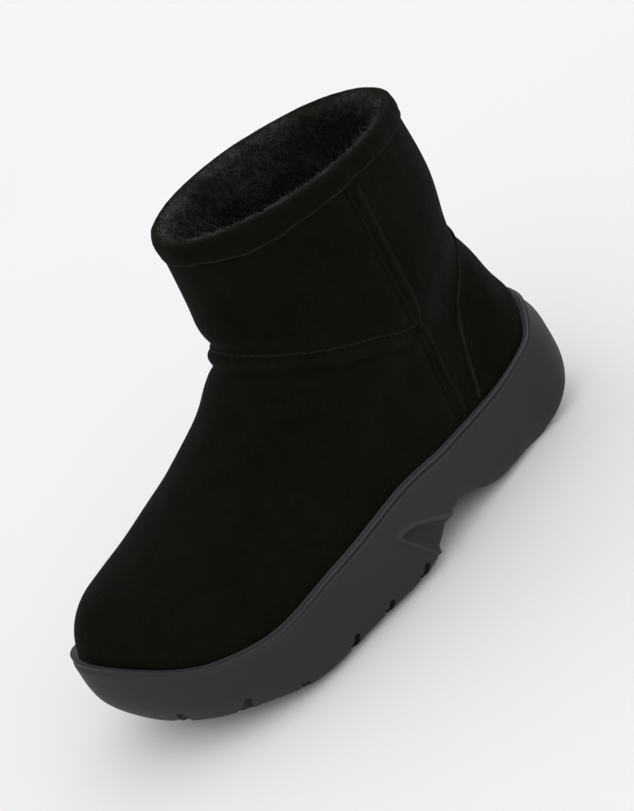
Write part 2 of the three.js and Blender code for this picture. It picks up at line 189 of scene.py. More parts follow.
# Round the section of the collar's band: v, how far out, how far up and how pale, the paleness being wear and
# painted highlight on its folded edges.
BINDING_FOOT = 1 - BINDING_DEPTH
BINDING_SECTION = (
    (BINDING_FOOT, -0.3, 0.0, 0.3),
    (BINDING_FOOT - 0.0004, 0.4, 0.0, 0.9),
    (BINDING_FOOT + 0.0006, 0.95, 0.0, 1.0),
    (BINDING_FOOT + 0.0024, 1.05, 0.0, 0.5),
    (BINDING_FOOT + 0.0045, 1.0, 0.0, 0.0),
    (BINDING_FOOT + 0.008, 1.25, 0.0, 0.0),
    (BINDING_FOOT + 0.013, 1.6, 0.0, 0.0),
    (BINDING_FOOT + 0.019, 1.65, 0.0, 0.0),
    (1 - 0.004, 1.4, 0.0, 0.0),
    (1.0, 1.0, 0.4, 0.05),
    (1.0, 0.1, 1.1, 0.1),
    (1.0, -1.1, 1.4, 0.15),
    (1.0, -2.2, 1.3, 0.35),
    (1.0, -3.0, 0.9, 0.8),
    (1.0, -3.5, 0.2, 0.9),
    (1.0, -3.2, -0.4, 0.0),
    (1.0, -1.5, -0.5, 0.0),
    (1 - 0.01, -0.6, 0.0, 0.0),
)
# Over the rim, from the inside out: how deep below the suede and how far up.
FLEECE_RIM = ((WALL - 1.6, -0.6), (WALL - 2.4, 0.4), (4.0, 0.5), (3.4, -0.4))
FRINGE_LEDGE = ((2.9, 0.4), (3.6, 0.0), (4.6, -1.2), (5.4, -3.0))
# The footbed's edge from its foot up: how far in and how far above the seat.
FOOTBED_EDGE = ((0.6, 0.0), (0.1, 0.9), (0.0, 2.2), (0.5, 3.6), (1.6, 4.6), (4.0, 5.0))

# Soft folds in the suede: from and to as (x, z), which side, depth and half width.
CREASES = (
    {"start": (156, 118), "end": (116, 92), "side": 1, "depth": 0.9, "reach": 6.0},
    {"start": (170, 106), "end": (136, 80), "side": 1, "depth": 0.5, "reach": 8.0},
    {"start": (156, 118), "end": (120, 94), "side": -1, "depth": 0.8, "reach": 6.0},
    {"start": (172, 105), "end": (140, 78), "side": -1, "depth": 0.5, "reach": 8.0},
    {"start": (120, 146), "end": (60, 138), "side": 1, "depth": 0.45, "reach": 7.0},
    {"start": (130, 140), "end": (48, 150), "side": -1, "depth": 0.5, "reach": 8.0},
    {"start": (66, 116), "end": (34, 124), "side": 1, "depth": 0.6, "reach": 5.0},
    {"start": (66, 116), "end": (34, 124), "side": -1, "depth": 0.6, "reach": 5.0},
)


# ---------------------------------------------------------------- curves on the last


def catmull(points, t, closed=False):
    """Catmull-Rom spline through points (first axis) at t, 0 to 1, one t for each trailing place."""
    count = len(points)
    spans = count if closed else count - 1
    place = np.clip(t, 0, 1) * spans if not closed else np.mod(t, 1) * spans
    first = np.minimum(np.floor(place).astype(int), spans - 1)
    s = (place - first)[..., None]
    if closed:
        knots = points
        index = [(first + k) % count for k in (-1, 0, 1, 2)]
    else:
        knots = np.concatenate([2 * points[:1] - points[1:2], points, 2 * points[-1:] - points[-2:-1]])
        index = [first + k for k in range(4)]
    if points.ndim > 2:
        where = np.indices(first.shape)
        before, start, end, after = (knots[(i, *where)] for i in index)
    else:
        before, start, end, after = (knots[i] for i in index)
    ramp = 2 * start + (end - before) * s
    bend = (2 * before - 5 * start + 4 * end - after) * s**2
    return 0.5 * (ramp + bend + (3 * start - before - 3 * end + after) * s**3)


def height_line(rows):
    """Smooth height along the boot through the rows, without overshoot between them."""
    xs = np.array([row[0] for row in rows]) * SOLE_LENGTH
    zs = np.array([row[1] for row in rows], float)
    slopes = np.diff(zs) / np.diff(xs)
    before = np.concatenate([slopes[:1], slopes])
    after = np.concatenate([slopes, slopes[-1:]])
    steady = before * after > 0
    total = np.where(steady, before + after, 1.0)
    tangents = np.where(steady, 2 * before * after / total, 0.0)

    def height(x):
        """Height at x, level beyond both ends."""
        inside = np.clip(x, xs[0], xs[-1])
        i = np.clip(np.searchsorted(xs, inside) - 1, 0, len(xs) - 2)
        run = xs[i + 1] - xs[i]
        t = (inside - xs[i]) / run
        ease = t * t * (3 - 2 * t)
        lead = t * (1 - t) ** 2 * run * tangents[i]
        tail = t * t * (t - 1) * run * tangents[i + 1]
        return zs[i] + ease * (zs[i + 1] - zs[i]) + lead + tail

    return height


tread_height = height_line(TREAD_LINE)
lip_height = height_line(LIP_LINE)
seat_height = height_line(SEAT_LINE)


def outline_scale():
    """Lowest corner and size of the raw outline, which scale it to 0..1 and -1..1."""
    curve = catmull(LAST_OUTLINE, np.arange(721) / 720 % 1, closed=True)
    return curve.min(0), np.ptp(curve, axis=0)


OUTLINE_LOW, OUTLINE_SIZE = outline_scale()


def plan(heel, toe, width, oval, u):
    """x, y and share of the length of a section at u, seen from above."""
    raw = (catmull(LAST_OUTLINE, u, closed=True) - OUTLINE_LOW) / OUTLINE_SIZE
    turn = 2 * np.pi * u
    along = raw[..., 0] + oval * ((1 - np.cos(turn)) / 2 - raw[..., 0])
    last_across = 2 * raw[..., 1] - 1
    across = last_across + oval * (np.sin(turn) - last_across)
    return (heel + (toe - heel) * along) * SOLE_LENGTH, across * width / 2, along


def upper_section(section, u):
    """Points of one section of the upper."""
    width = section["width"] * BALL_WIDTH
    x, y, along = plan(section["heel"], section["toe"], width, section["oval"], u)
    name = section.get("name")
    if name == "seat":
        return np.stack([x, y, seat_height(x)], -1)
    if name == "lip":
        return np.stack([x, y, lip_height(x)], -1)
    at_heel = lip_height(section["heel"] * SOLE_LENGTH)
    at_toe = lip_height(section["toe"] * SOLE_LENGTH)
    sweep = lip_height(x) - (at_heel + (at_toe - at_heel) * along)
    z = section["heel_z"] + (section["toe_z"] - section["heel_z"]) * along + section["lip"] * sweep
    return np.stack([x, y, z], -1)


def plain_upper(u, v):
    """Points of the upper at u round and v up."""
    u, v = np.broadcast_arrays(np.asarray(u, float), np.asarray(v, float))
    rows = np.stack([upper_section(section, np.mod(u, 1)) for section in UPPER_SECTIONS])
    return catmull(rows if u.ndim else rows[:, None], v if u.ndim else v[None]).reshape(*u.shape, 3)


def unit(vectors):
    """Vectors made one long."""
    return vectors / np.maximum(np.linalg.norm(vectors, axis=-1, keepdims=True), 1e-9)


def upper_frame(u, v):
    """Points of the upper, and the directions out of it, round it and up it."""
    u, v = np.broadcast_arrays(np.asarray(u, float), np.asarray(v, float))
    step = 0.003
    point = plain_upper(u, v)
    round_ = plain_upper(u + step, v) - plain_upper(u - step, v)
    up = plain_upper(u, np.minimum(v + step, 1)) - plain_upper(u, np.maximum(v - step, 0))
    return point, unit(np.cross(up, round_)), unit(round_), unit(up)


def solve(rising, target, low, high):
    """The value between low and high at which a rising function reaches its target."""
    for _ in range(26):
        middle = (low + high) / 2
        if rising(middle) < target:
            low = middle
        else:
            high = middle
    return (low + high) / 2


def locate(place, side):
    """u and v of the place (x, z) on one side of the upper: 1 outer, -1 inner."""
    u, v = TOE / 2, 0.5
    for _ in range(10):
        u = solve(lambda t: plain_upper(side * t, v)[0], place[0], 0.0, TOE)
        v = solve(lambda t: plain_upper(side * u, t)[2], place[1], 0.0, 1.0)
    return side * u, v


def level_at(u, z):
    """v at which the line up the upper at u reaches a height."""
    return solve(lambda t: plain_upper(u, t)[2], z, 0.0, 1.0)


SEAM_UV = {side: np.array([locate(place, side) for place in SIDE_SEAM]) for side in (1, -1)}
ANKLE_UV = np.array(
    [locate(place, 1) for place in ANKLE_SEAM]
    + [(TOE, level_at(TOE, ANKLE_SEAM_FRONT))]
    + [(u + 1, v) for u, v in (locate(place, -1) for place in reversed(ANKLE_SEAM))]
)
COUNTER_UV = np.array([locate(place, 1) for place in COUNTER_EDGE] + [(0.02, level_at(0.0, COUNTER_TOP))])


def path_uv(corners, count):
    """A smooth path through u, v corners."""
    return catmull(corners, np.linspace(0, 1, count))


def distance_to_path(points, path):
    """Distance of each point from a polyline, in millimetres."""
    flat = points.reshape(-1, 3)
    nearest = np.full(len(flat), 1e9)
    for start, end in zip(path[:-1], path[1:]):
        along = end - start
        share = np.clip((flat - start) @ along / max(along @ along, 1e-9), 0, 1)
        gap = np.linalg.norm(flat - (start + share[:, None] * along), axis=1)
        nearest = np.minimum(nearest, gap)
    return nearest.reshape(points.shape[:-1])


def swell(x, reach):
    """A soft hump that is 1 at 0 and falls away over reach."""
    return np.exp(-((x / reach) ** 2))


def soft_noise(points, size, seed):
    """Smooth noise of about -1 to 1 with lumps of the given size in millimetres."""
    flat = points.reshape(-1, 3) / size + np.array([seed * 7.3, seed * 3.1, seed * 5.7])
    values = np.fromiter((noise.noise(Vector(p)) for p in flat), float, len(flat))
    return values.reshape(points.shape[:-1])


SEAM_PATHS = {side: plain_upper(*path_uv(SEAM_UV[side], 40).T) for side in (1, -1)}
ANKLE_PATH = plain_upper(*path_uv(ANKLE_UV, 70).T)


def fold_relief(points):
    """How far the suede lies below or above the plain last: folds, seam puckers and slack."""
    rise = 0.35 * soft_noise(points, 38, 1) + 0.16 * soft_noise(points, 14, 2)
    for crease in CREASES:
        start = np.array(crease["start"], float)
        end = np.array(crease["end"], float)
        along = end - start
        place = points[..., (0, 2)]
        share = np.clip((place - start) @ along / (along @ along), 0, 1)
        gap = np.linalg.norm(place - (start + share[..., None] * along), axis=-1)
        ends = np.sin(np.pi * np.clip(0.08 + 0.84 * share, 0, 1)) ** 0.7
        facing = 1 / (1 + np.exp(-crease["side"] * points[..., 1] / 4))
        trough = swell(gap, crease["reach"]) - 0.45 * swell(gap, crease["reach"] * 2.1)
        rise = rise - crease["depth"] * trough * ends * facing
    ankle = distance_to_path(points, ANKLE_PATH)
    below = points[..., 2] < np.interp(points[..., 0], ANKLE_PATH[:35, 0], ANKLE_PATH[:35, 2])
    rise = rise - np.where(below, 1.3, 0.5) * swell(ankle - 5.6, 3.0)
    rise = rise + np.where(below, 0.8, 0.5) * swell(ankle - 14.0, 7.0)
    for side in (1, -1):
        seam = distance_to_path(points, SEAM_PATHS[side])
        rise = rise - 0.45 * swell(seam - 4.5, 2.6) + 0.35 * swell(seam - 12.0, 6.0)
    return rise


def on_upper(u, v, outward=0.0):
    """Points of the finished upper's surface, moved out by a distance."""
    point, out, _, _ = upper_frame(u, v)
    lift = np.asarray(outward, float) + fold_relief(point)
    return point + out * lift[..., None]


# ---------------------------------------------------------------- meshes


def to_object(name, points, faces, material, smooth_angle=None):
    """A mesh object from millimetre points and faces, at the origin of the row frame."""
    mesh = bpy.data.meshes.new(name)
    moved = (np.asarray(points, float).reshape(-1, 3) - (SOLE_LENGTH / 2, 0, 0)) * MM
    mesh.from_pydata(moved.tolist(), [], faces)
    mesh.update()
    mesh.materials.append(material)
    mesh.shade_smooth()
    if smooth_angle is not None:
        mesh.set_sharp_from_angle(angle=math.radians(smooth_angle))
    obj = bpy.data.objects.new(name, mesh)
    bpy.context.scene.collection.objects.link(obj)
    return obj


def ring_faces(rows, columns, joined=False):
    """Quads between closed rings, and caps of rungs across the first and last unless joined."""
    count = rows if joined else rows - 1
    row = np.arange(count)[:, None]
    column = np.arange(columns)[None, :]
    above = (row + 1) % rows
    beside = (column + 1) % columns
    corners = (
        row * columns + column,
        above * columns + column,
        above * columns + beside,
        row * columns + beside,
    )
    faces = np.stack([np.broadcast_to(c, (count, columns)) for c in corners], -1).reshape(-1, 4).tolist()
    if joined:
        return faces
    for base, flip in ((0, False), ((rows - 1) * columns, True)):
        for near in range(columns // 2):
            far = (columns - near) % columns
            rung = [near, near + 1, (columns - near - 1) % columns, far]
            rung = list(dict.fromkeys(rung))
            if len(rung) < 3:
                continue
            rung = [base + i for i in rung]
            faces.append(rung[::-1] if flip else rung)
    return faces


def loft(name, rings, material, joined=False, smooth_angle=None):
    """A closed body from rings of equally many points."""
    rings = np.asarray(rings)
    faces = ring_faces(len(rings), rings.shape[1], joined)
    return to_object(name, rings, faces, material, smooth_angle)


def paint(obj, name, values):
    """A number for each vertex, which the material reads by name."""
    layer = obj.data.attributes.new(name, "FLOAT", "POINT")
    layer.data.foreach_set("value", np.asarray(values, np.float32).ravel())


def finish_piece(obj, slot, *nodes):
    """The piece rides on the boot and stands for its CAD nodes, which are hidden; the slot is not used."""
    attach(obj, BODY)
    if nodes:
        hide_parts(*nodes)
    return obj


# ---------------------------------------------------------------- materials


class Nodes:
    """A node tree that is written as a list of calls."""

    def __init__(self, graph):
        self.graph = graph

    def plug(self, value, socket):
        """Links a socket, or sets a constant, into an input."""
        if isinstance(value, bpy.types.NodeSocket):
            self.graph.links.new(value, socket)
        else:
            socket.default_value = value

    def node(self, kind, inputs=None, **settings):
        """A new node with its settings and its inputs filled in."""
        made = self.graph.nodes.new(kind)
        for key, value in settings.items():
            setattr(made, key, value)
        for key, value in (inputs or {}).items():
            self.plug(value, made.inputs[key])
        return made

    def remap(self, value, low, high, to_low=0.0, to_high=1.0):
        """A value brought from one range to another, and held inside it."""
        inputs = {"Value": value, 1: low, 2: high, 3: to_low, 4: to_high}
        return self.node("ShaderNodeMapRange", inputs).outputs["Result"]

    def math(self, operation, a, b=0.0):
        """One sum of two numbers."""
        return self.node("ShaderNodeMath", {0: a, 1: b}, operation=operation).outputs[0]


class Shader(Nodes):
    """A material built from nodes, which reads the object's own coordinates."""

    def __init__(self, name):
        self.material = bpy.data.materials.get(name) or bpy.data.materials.new(name)
        self.material.use_nodes = True
        super().__init__(self.material.node_tree)
        self.graph.nodes.clear()
        self.surface = self.graph.nodes.new("ShaderNodeBsdfPrincipled")
        output = self.graph.nodes.new("ShaderNodeOutputMaterial")
        self.graph.links.new(self.surface.outputs["BSDF"], output.inputs["Surface"])
        self.place = self.graph.nodes.new("ShaderNodeTexCoord").outputs["Object"]

    def noise(self, scale, detail=3.0, roughness=0.55, vector=None, distortion=0.0):
        """Cloudy noise, from 0 to 1."""
        inputs = {
            "Vector": vector or self.place,
            "Scale": scale,
            "Detail": detail,
            "Roughness": roughness,
            "Distortion": distortion,
        }
        return self.node("ShaderNodeTexNoise", inputs).outputs["Fac"]

    def mix(self, factor, a, b):
        """A blend of two colours: all a at 0, all b at 1."""
        return self.node("ShaderNodeMix", {0: factor, 6: a, 7: b}, data_type="RGBA").outputs[2]

    def attribute(self, name):
        """A number painted on the mesh."""
        return self.node("ShaderNodeAttribute", attribute_name=name).outputs["Fac"]

    def bump(self, height, strength, distance, normal=None):
        """A normal bent by a height, on top of another one."""
        inputs = {"Height": height, "Strength": strength, "Distance": distance}
        if normal is not None:
            inputs["Normal"] = normal
        return self.node("ShaderNodeBump", inputs).outputs["Normal"]

    def set(self, **values):
        """Fills in the surface's sockets and gives the finished material."""
        for key, value in values.items():
            self.plug(value, self.surface.inputs[key.replace("_", " ")])
        return self.material


def grey(value):
    """A neutral grey as a colour."""
    return (value, value, value, 1.0)


def olive(value):
    """A near black with a trace of olive in it, as a colour."""
    return (value * 0.96, value * 1.05, value * 0.62, 1.0)


def suede_material(name, base, wear_and_highlight):
    """Brushed suede: mottled nap, paler where it is worn and where highlights are painted on ridges and
    edges, with a soft halo at the edges.
    """
    s = Shader(name)
    patches = s.noise(55, 4, 0.6, distortion=0.6)
    fibres = s.noise(900, 3, 0.6)
    long_nap = s.node("ShaderNodeMapping", {"Vector": s.place, "Scale": (1.0, 1.0, 0.28)}).outputs[0]
    strokes = s.noise(420, 3, 0.65, vector=long_nap, distortion=0.3)
    mottle = s.remap(patches, 0.35, 0.68)
    colour = s.mix(mottle, olive(base * 0.86), olive(base * 1.18))
    colour = s.mix(s.remap(strokes, 0.45, 0.75, 0.0, 0.4), colour, olive(base * 1.7))
    # The painted attribute pales the nap: real wear, and painted highlights on ridges and edges.
    wear_and_highlight_share = s.math("MULTIPLY", s.attribute("wear_and_highlight"), s.remap(fibres, 0.3, 0.62, 0.45, 1.0))
    colour = s.mix(wear_and_highlight_share, colour, olive(wear_and_highlight))
    normal = s.bump(fibres, 0.55, 0.0006)
    normal = s.bump(strokes, 0.45, 0.0009, normal)
    normal = s.bump(patches, 0.25, 0.002, normal)
    s.surface.inputs["Sheen Tint"].default_value = (0.85, 0.86, 0.9, 1.0)
    return s.set(
        Base_Color=colour,
        Roughness=0.96,
        Specular_IOR_Level=0.03,
        Sheen_Weight=0.02,
        Sheen_Roughness=0.42,
        Normal=normal,
    )


def rubber_material(name, base, lip):
    """Matte moulded foam rubber with a fine grain, painted highlights along its lip, ledge and ridges, and
    painted shade in its recess and lip groove.
    """
    s = Shader(name)
    cloud = s.noise(28, 3, 0.5)
    grain = s.noise(1500, 2, 0.6)
    pits = s.noise(380, 2, 0.5)
    colour = s.mix(s.remap(cloud, 0.35, 0.65), grey(base * 0.9), grey(base * 1.12))
    highlighted = s.attribute("wear_and_highlight")
    # Painted highlight: the lip, the ledge, the recess ridges and the rear's low edge are mixed towards the
    # paler lip grey.
    colour = s.mix(highlighted, colour, grey(lip))
    # A stronger painted highlight on the ledge and the heel's lip band, where the value passes 1.
    colour = s.mix(s.math("SUBTRACT", highlighted, 1.0), colour, grey(lip * 2))
    # Painted shade in the arch recess and the lip groove.
    colour = s.mix(s.attribute("shade"), colour, grey(base * 0.35))
    normal = s.bump(grain, 0.35, 0.0003)
    normal = s.bump(pits, 0.15, 0.0005, normal)
    rough = s.remap(cloud, 0.3, 0.7, 0.6, 0.72)
    return s.set(Base_Color=colour, Roughness=rough, Specular_IOR_Level=0.3, Normal=normal)


def fleece_material(name, base, tip):
    """Plush sheepskin: dark roots and clumps of paler tips, the paleness partly the wool's own colour and
    partly painted highlight on lump tops and hair tips.
    """
    s = Shader(name)
    clumps = s.noise(120, 3, 0.6, distortion=1.2)
    patches = s.noise(30, 2, 0.5, distortion=0.6)
    hairs = s.noise(1500, 3, 0.6, distortion=0.8)
    cloud = s.math(
        "MULTIPLY",
        s.remap(clumps, 0.4, 0.62, 0.3, 1.0),
        s.remap(patches, 0.42, 0.58, 0.12, 1.0),
    )
    # Partly the wool's own tone and partly painted highlight: paler where the lumps bulge and towards the
    # hair tips.
    lift = s.math("MULTIPLY", s.attribute("wear_and_highlight"), cloud)
    colour = s.mix(lift, olive(base), grey(tip))
    colour = s.mix(s.remap(hairs, 0.5, 0.75, 0.0, 0.15), colour, grey(tip))
    normal = s.bump(hairs, 0.5, 0.0008)
    normal = s.bump(clumps, 0.5, 0.002, normal)
    return s.set(
        Base_Color=colour,
        Roughness=0.95,
        Specular_IOR_Level=0.05,
        Sheen_Weight=0.05,
        Sheen_Roughness=0.5,
        Normal=normal,
    )


def thread_material(name, base):
    """Waxed sewing thread."""
    s = Shader(name)
    twist = s.noise(1800, 2, 0.5)
    colour = s.mix(s.remap(twist, 0.35, 0.7), grey(base * 0.7), grey(base * 1.3))
    return s.set(Base_Color=colour, Roughness=0.8, Specular_IOR_Level=0.1, Normal=s.bump(twist, 0.3, 0.0002))


# ---------------------------------------------------------------- settings


class BootLooks(bpy.types.PropertyGroup):
    """Sizes and colours that a user would change."""

    suede_grey: bpy.props.FloatProperty(
        name="Suede", description="Lightness of the suede", default=0.004, min=0.001, max=1.0
    )
    # Colour of worn suede and of the painted highlights on the overlays' and the band's edges.
    suede_wear_and_highlight: bpy.props.FloatProperty(
        name="Rubbed suede", description="Lightness of rubbed edges", default=0.02, min=0.001, max=1.0
    )
    sole_grey: bpy.props.FloatProperty(
        name="Sole", description="Lightness of the sole", default=0.0164, min=0.001, max=1.0
    )
    # The lip grey is the colour of the sole's painted highlights.
    lip_highlight_grey: bpy.props.FloatProperty(
        name="Sole lip", description="Lightness of the sole's bevelled lip", default=0.036, min=0.001, max=1.0
    )
    fleece_grey: bpy.props.FloatProperty(
        name="Fleece", description="Lightness of the fleece's roots", default=0.011, min=0.001, max=1.0
    )
    fleece_tip: bpy.props.FloatProperty(
        name="Fleece tips", description="Lightness of the fleece's tips", default=0.09, min=0.001, max=1.0
    )
    thread_grey: bpy.props.FloatProperty(
        name="Thread", description="Lightness of the sewing thread", default=0.011, min=0.001, max=1.0
    )
    stitch_length: bpy.props.FloatProperty(
        name="Stitch length", description="Length of one stitch", default=0.0024, unit="LENGTH"
    )
    stitch_gap: bpy.props.FloatProperty(
        name="Stitch gap", description="Space between two stitches", default=0.001, unit="LENGTH"
    )
    thread_width: bpy.props.FloatProperty(
        name="Thread width", description="Thickness of the thread", default=0.00055, unit="LENGTH"
    )
    tuft_length: bpy.props.FloatProperty(
        name="Fleece hair", description="Length of one hair", default=0.0042, unit="LENGTH"
    )
    hair_width: bpy.props.FloatProperty(
        name="Hair width", description="Half thickness of one hair", default=0.00024, unit="LENGTH"
    )
    tuft_count: bpy.props.IntProperty(
        name="Hairs", description="How many hairs stand inside the collar", default=24000, min=0
    )


def looks():
    """The settings of this scene."""
    return bpy.context.scene.boot_looks


# ---------------------------------------------------------------- sole


def sole_columns():
    """Places round the sole, closer together at the arch where the recess lies."""
    half = np.concatenate(
        [
            np.linspace(0, 0.19, 76, endpoint=False),
            np.linspace(0.19, 0.275, 110, endpoint=False),
            np.linspace(0.275, TOE, 96, endpoint=False),
        ]
    )
    other = 1 - half[1:][::-1]
    return np.concatenate([half, [TOE], other])


def plain_sole(u, v):
    """Points up the sole's side."""
    rows = []
    for height, heel, toe, width in SOLE_SECTIONS:
        x, y, _ = plan(heel, toe, width * SOLE_WIDTH, 0.0, u)
        low = tread_height(x)
        rows.append(np.stack([x, y, low + (lip_height(x) - low) * height], -1))
    return catmull(np.stack(rows), v)


def path_gap(place, path):
    """Distance in the side view of each place from a path, and which side of it the place is on."""
    best = np.full(place.shape[:-1], 1e9)
    below = np.zeros(place.shape[:-1])
    for start, end in zip(path[:-1], path[1:]):
        along = end - start
        share = np.clip((place - start) @ along / (along @ along), 0, 1)
        offset = place - (start + share[..., None] * along)
        gap = np.linalg.norm(offset, axis=-1)
        turn = along[0] * offset[..., 1] - along[1] * offset[..., 0]
        closer = gap < best
        best = np.where(closer, gap, best)
        below = np.where(closer, turn, below)
    return best, below


def recess_relief(point):
    """The arch recess: the rise of the ridges round it, and how far inside them a place lies."""
    x, z = point[..., 0], point[..., 2]
    place = point[..., (0, 2)]
    steps = np.linspace(0, 1, 40)
    top_gap, top_turn = path_gap(place, catmull(RECESS_TOP, steps))
    low_gap, low_turn = path_gap(place, catmull(RECESS_BOTTOM, steps))
    inside = (top_turn > 0) & (low_turn < 0) & (x < RECESS_FRONT) & (x > RECESS_BACK)
    depth = np.where(inside, np.minimum(top_gap, low_gap), 0.0)
    near = (x > RECESS_BACK) & (x < RECESS_FRONT + 2.5) & (z < RECESS_CEILING)
    ridge = np.maximum(swell(top_gap, 1.15) * 1.5, swell(low_gap, 0.85) * 1.15)
    return np.where(near, ridge, 0.0), depth


def sole_relief(point):
    """Outward rise of the sole's side, its painted highlights and its painted shade."""
    x, z = point[..., 0], point[..., 2]
    ridge, depth = recess_relief(point)
    drop = lip_height(x) - z
    fade = np.clip((235 - x) / 60, 0.0, 1)
    heel = np.clip((60 - x) / 40, 0, 1)
    groove = swell(drop - LIP_GROOVE, LIP_GROOVE_REACH) * (1 - 0.6 * heel)
    rise = ridge - np.minimum(np.maximum(depth - 0.8, 0) * 0.8, RECESS_DEPTH)
    rise = rise - LIP_GROOVE_DEPTH * groove * fade + 0.25 * swell(drop - LIP_GROOVE - 1.1, 0.7) * fade
    rise = rise + 0.35 * soft_noise(point, 60, 21) * np.clip(drop / 12, 0, 1)
    # Painted highlights: the lip's top edge, the band above the lip groove, the line under the groove, the
    # recess ridges and the rear's low edge.
    edge = 0.6 * (0.35 + 0.65 * fade) * np.clip((1.4 - drop) / 1.0, 0, 1)
    band = (0.3 * fade + 1.1 * heel) * np.clip((LIP_GROOVE - 0.2 - drop) / 0.4, 0, 1)
    under_groove_highlight = 0.35 * swell(drop - LIP_GROOVE - 1.0, 0.5) * fade * (1 - heel)
    recess_ridge_highlight = 0.85 * np.clip(ridge / 1.3, 0, 1) ** 2
    rear_low_edge_highlight = 0.25 * swell(z - tread_height(x) - 5, 3.5) * np.clip((112 - x) / 20, 0, 1)
    wear_and_highlight = np.clip(edge + band, 0, 1 + 0.45 * heel)
    for tint in (under_groove_highlight, recess_ridge_highlight, rear_low_edge_highlight):
        wear_and_highlight = np.maximum(wear_and_highlight, tint)
    shade = np.clip(depth / 4, 0, 0.32) + 0.75 * groove * fade
    return rise, wear_and_highlight, shade


def make_sole(material):
    """The moulded sole: side, lip and the cup that holds the upper, then its grooves are cut."""
    u = sole_columns()
    v = np.concatenate([np.linspace(0, 0.66, 50, endpoint=False), np.linspace(0.66, 1, 62)])
    uu, vv = np.meshgrid(u, v)
    point = plain_sole(uu, vv)
    along = np.roll(point, -1, axis=1) - np.roll(point, 1, axis=1)
    out = unit(np.stack([-along[..., 1], along[..., 0], np.zeros_like(uu)], -1))
    rise, wear_and_highlight, shade = sole_relief(point)
    side = point + out * rise[..., None]
    cup_v = np.linspace(LIP, 0, 8)
    cuu, cvv = np.meshgrid(u, cup_v)
    base, normal, _, _ = upper_frame(cuu, cvv)
    cup = base + normal * FIT
    cup[-1, :, 2] -= FIT
    rings = np.concatenate([side, cup])
    obj = loft("sole_unit", rings, material)
    tail = np.zeros_like(cuu)
    # The cup's ledge gets a strong painted highlight (1.7).
    paint(obj, "wear_and_highlight", np.concatenate([wear_and_highlight, tail + 1.7]))
    paint(obj, "shade", np.concatenate([shade, tail]))
    cut_grooves(obj)
    return obj


def low_wall(u):
    """A point low on the sole's side."""
    return plain_sole(np.array([u]), np.array([NOTCH_LEVEL]))[0]


def groove_bars(bars):
    """Bars across the forefoot's tread, each with a slanting notch at both of its ends."""
    height = 30.0
    for share, top in zip(GROOVES, NOTCH_TOPS):
        x = share * SOLE_LENGTH
        ground = float(tread_height(x))
        slope = math.atan2(float(tread_height(x + 2)) - float(tread_height(x - 2)), 4)
        centre = Vector((x - SOLE_LENGTH / 2, 0, ground)) * MM
        turned = Matrix.Translation(centre) @ Matrix.Rotation(-slope, 4, "Y")
        lower = Matrix.Translation((0, 0, (GROOVE_DEPTH - height / 2) * MM))
        size = Matrix.Diagonal((GROOVE_WIDTH * MM, SOLE_WIDTH * 1.2 * MM, height * MM, 1))
        bmesh.ops.create_cube(bars, size=1, matrix=turned @ lower @ size)
        for side in (1, -1):
            u = side * solve(lambda t: low_wall(side * t)[0], x, 0.0, TOE)
            wall = low_wall(u)
            tangent = low_wall(u + 0.003 * side) - wall
            facing = Matrix.Rotation(math.atan2(tangent[1], tangent[0]), 4, "Z")
            foot = Vector((wall[0] - SOLE_LENGTH / 2, wall[1] + side * 1.5, ground)) * MM
            turned = Matrix.Translation(foot) @ facing @ Matrix.Rotation(NOTCH_LEAN, 4, "Y")
            rise = (top - ground) / math.cos(NOTCH_LEAN)
            size = Matrix.Diagonal((NOTCH[0] * MM, NOTCH[1] * MM, 2 * rise * MM, 1))
            wedge = bmesh.ops.create_cube(bars, size=1)["verts"]
            for corner in wedge:
                corner.co.x *= 1.0 if corner.co.z > 0 else NOTCH_FLARE
            bmesh.ops.transform(bars, matrix=turned @ size, verts=wedge)


def cut_grooves(obj):
    """Cuts the cross grooves of the forefoot's tread and their notches in its edge."""
    mesh = bpy.data.meshes.new("groove_bars")
    bars = bmesh.new()
    groove_bars(bars)
    bars.to_mesh(mesh)
    bars.free()
    cutter = bpy.data.objects.new("groove_bars", mesh)
    bpy.context.scene.collection.objects.link(cutter)
    cut = obj.modifiers.new("grooves", "BOOLEAN")
    cut.operation = "DIFFERENCE"
    cut.solver = "EXACT"
    cut.use_self = True
    cut.object = cutter
    result = bpy.data.meshes.new_from_object(obj.evaluated_get(bpy.context.evaluated_depsgraph_get()))
    obj.modifiers.remove(cut)
    if len(result.vertices) < 1000:
        raise RuntimeError("the grooves could not be cut")
    obj.data = result
    bpy.data.objects.remove(cutter)
    obj.data.shade_smooth()
    obj.data.set_sharp_from_angle(angle=math.radians(35))


# ---------------------------------------------------------------- upper and overlays


def make_upper(material):
    """The suede shell: outside, rim and inside, open at the collar and underneath."""
    u = np.arange(400) / 400
    v = np.linspace(0, 1, 200)
    uu, vv = np.meshgrid(u, v)
    outside = on_upper(uu, vv)
    back_v = np.linspace(1, 0, 24)
    buu, bvv = np.meshgrid(u, back_v)
    inside = on_upper(buu, bvv, -SUEDE)
    obj = loft("upper_shell", np.concatenate([outside, inside]), material, joined=True)
    seams = np.minimum(
        distance_to_path(outside, SEAM_PATHS[1]), distance_to_path(outside, SEAM_PATHS[-1])
    )
    ankle = distance_to_path(outside, ANKLE_PATH)
    wear_and_highlight = 0.05 * swell(seams - 6, 3) + 0.05 * swell(ankle - 8, 3)
    wear_and_highlight = wear_and_highlight + 0.07 * np.clip(soft_noise(outside, 24, 5), 0, 1)
    paint(obj, "wear_and_highlight", np.concatenate([wear_and_highlight, np.zeros_like(buu)]))
    return obj


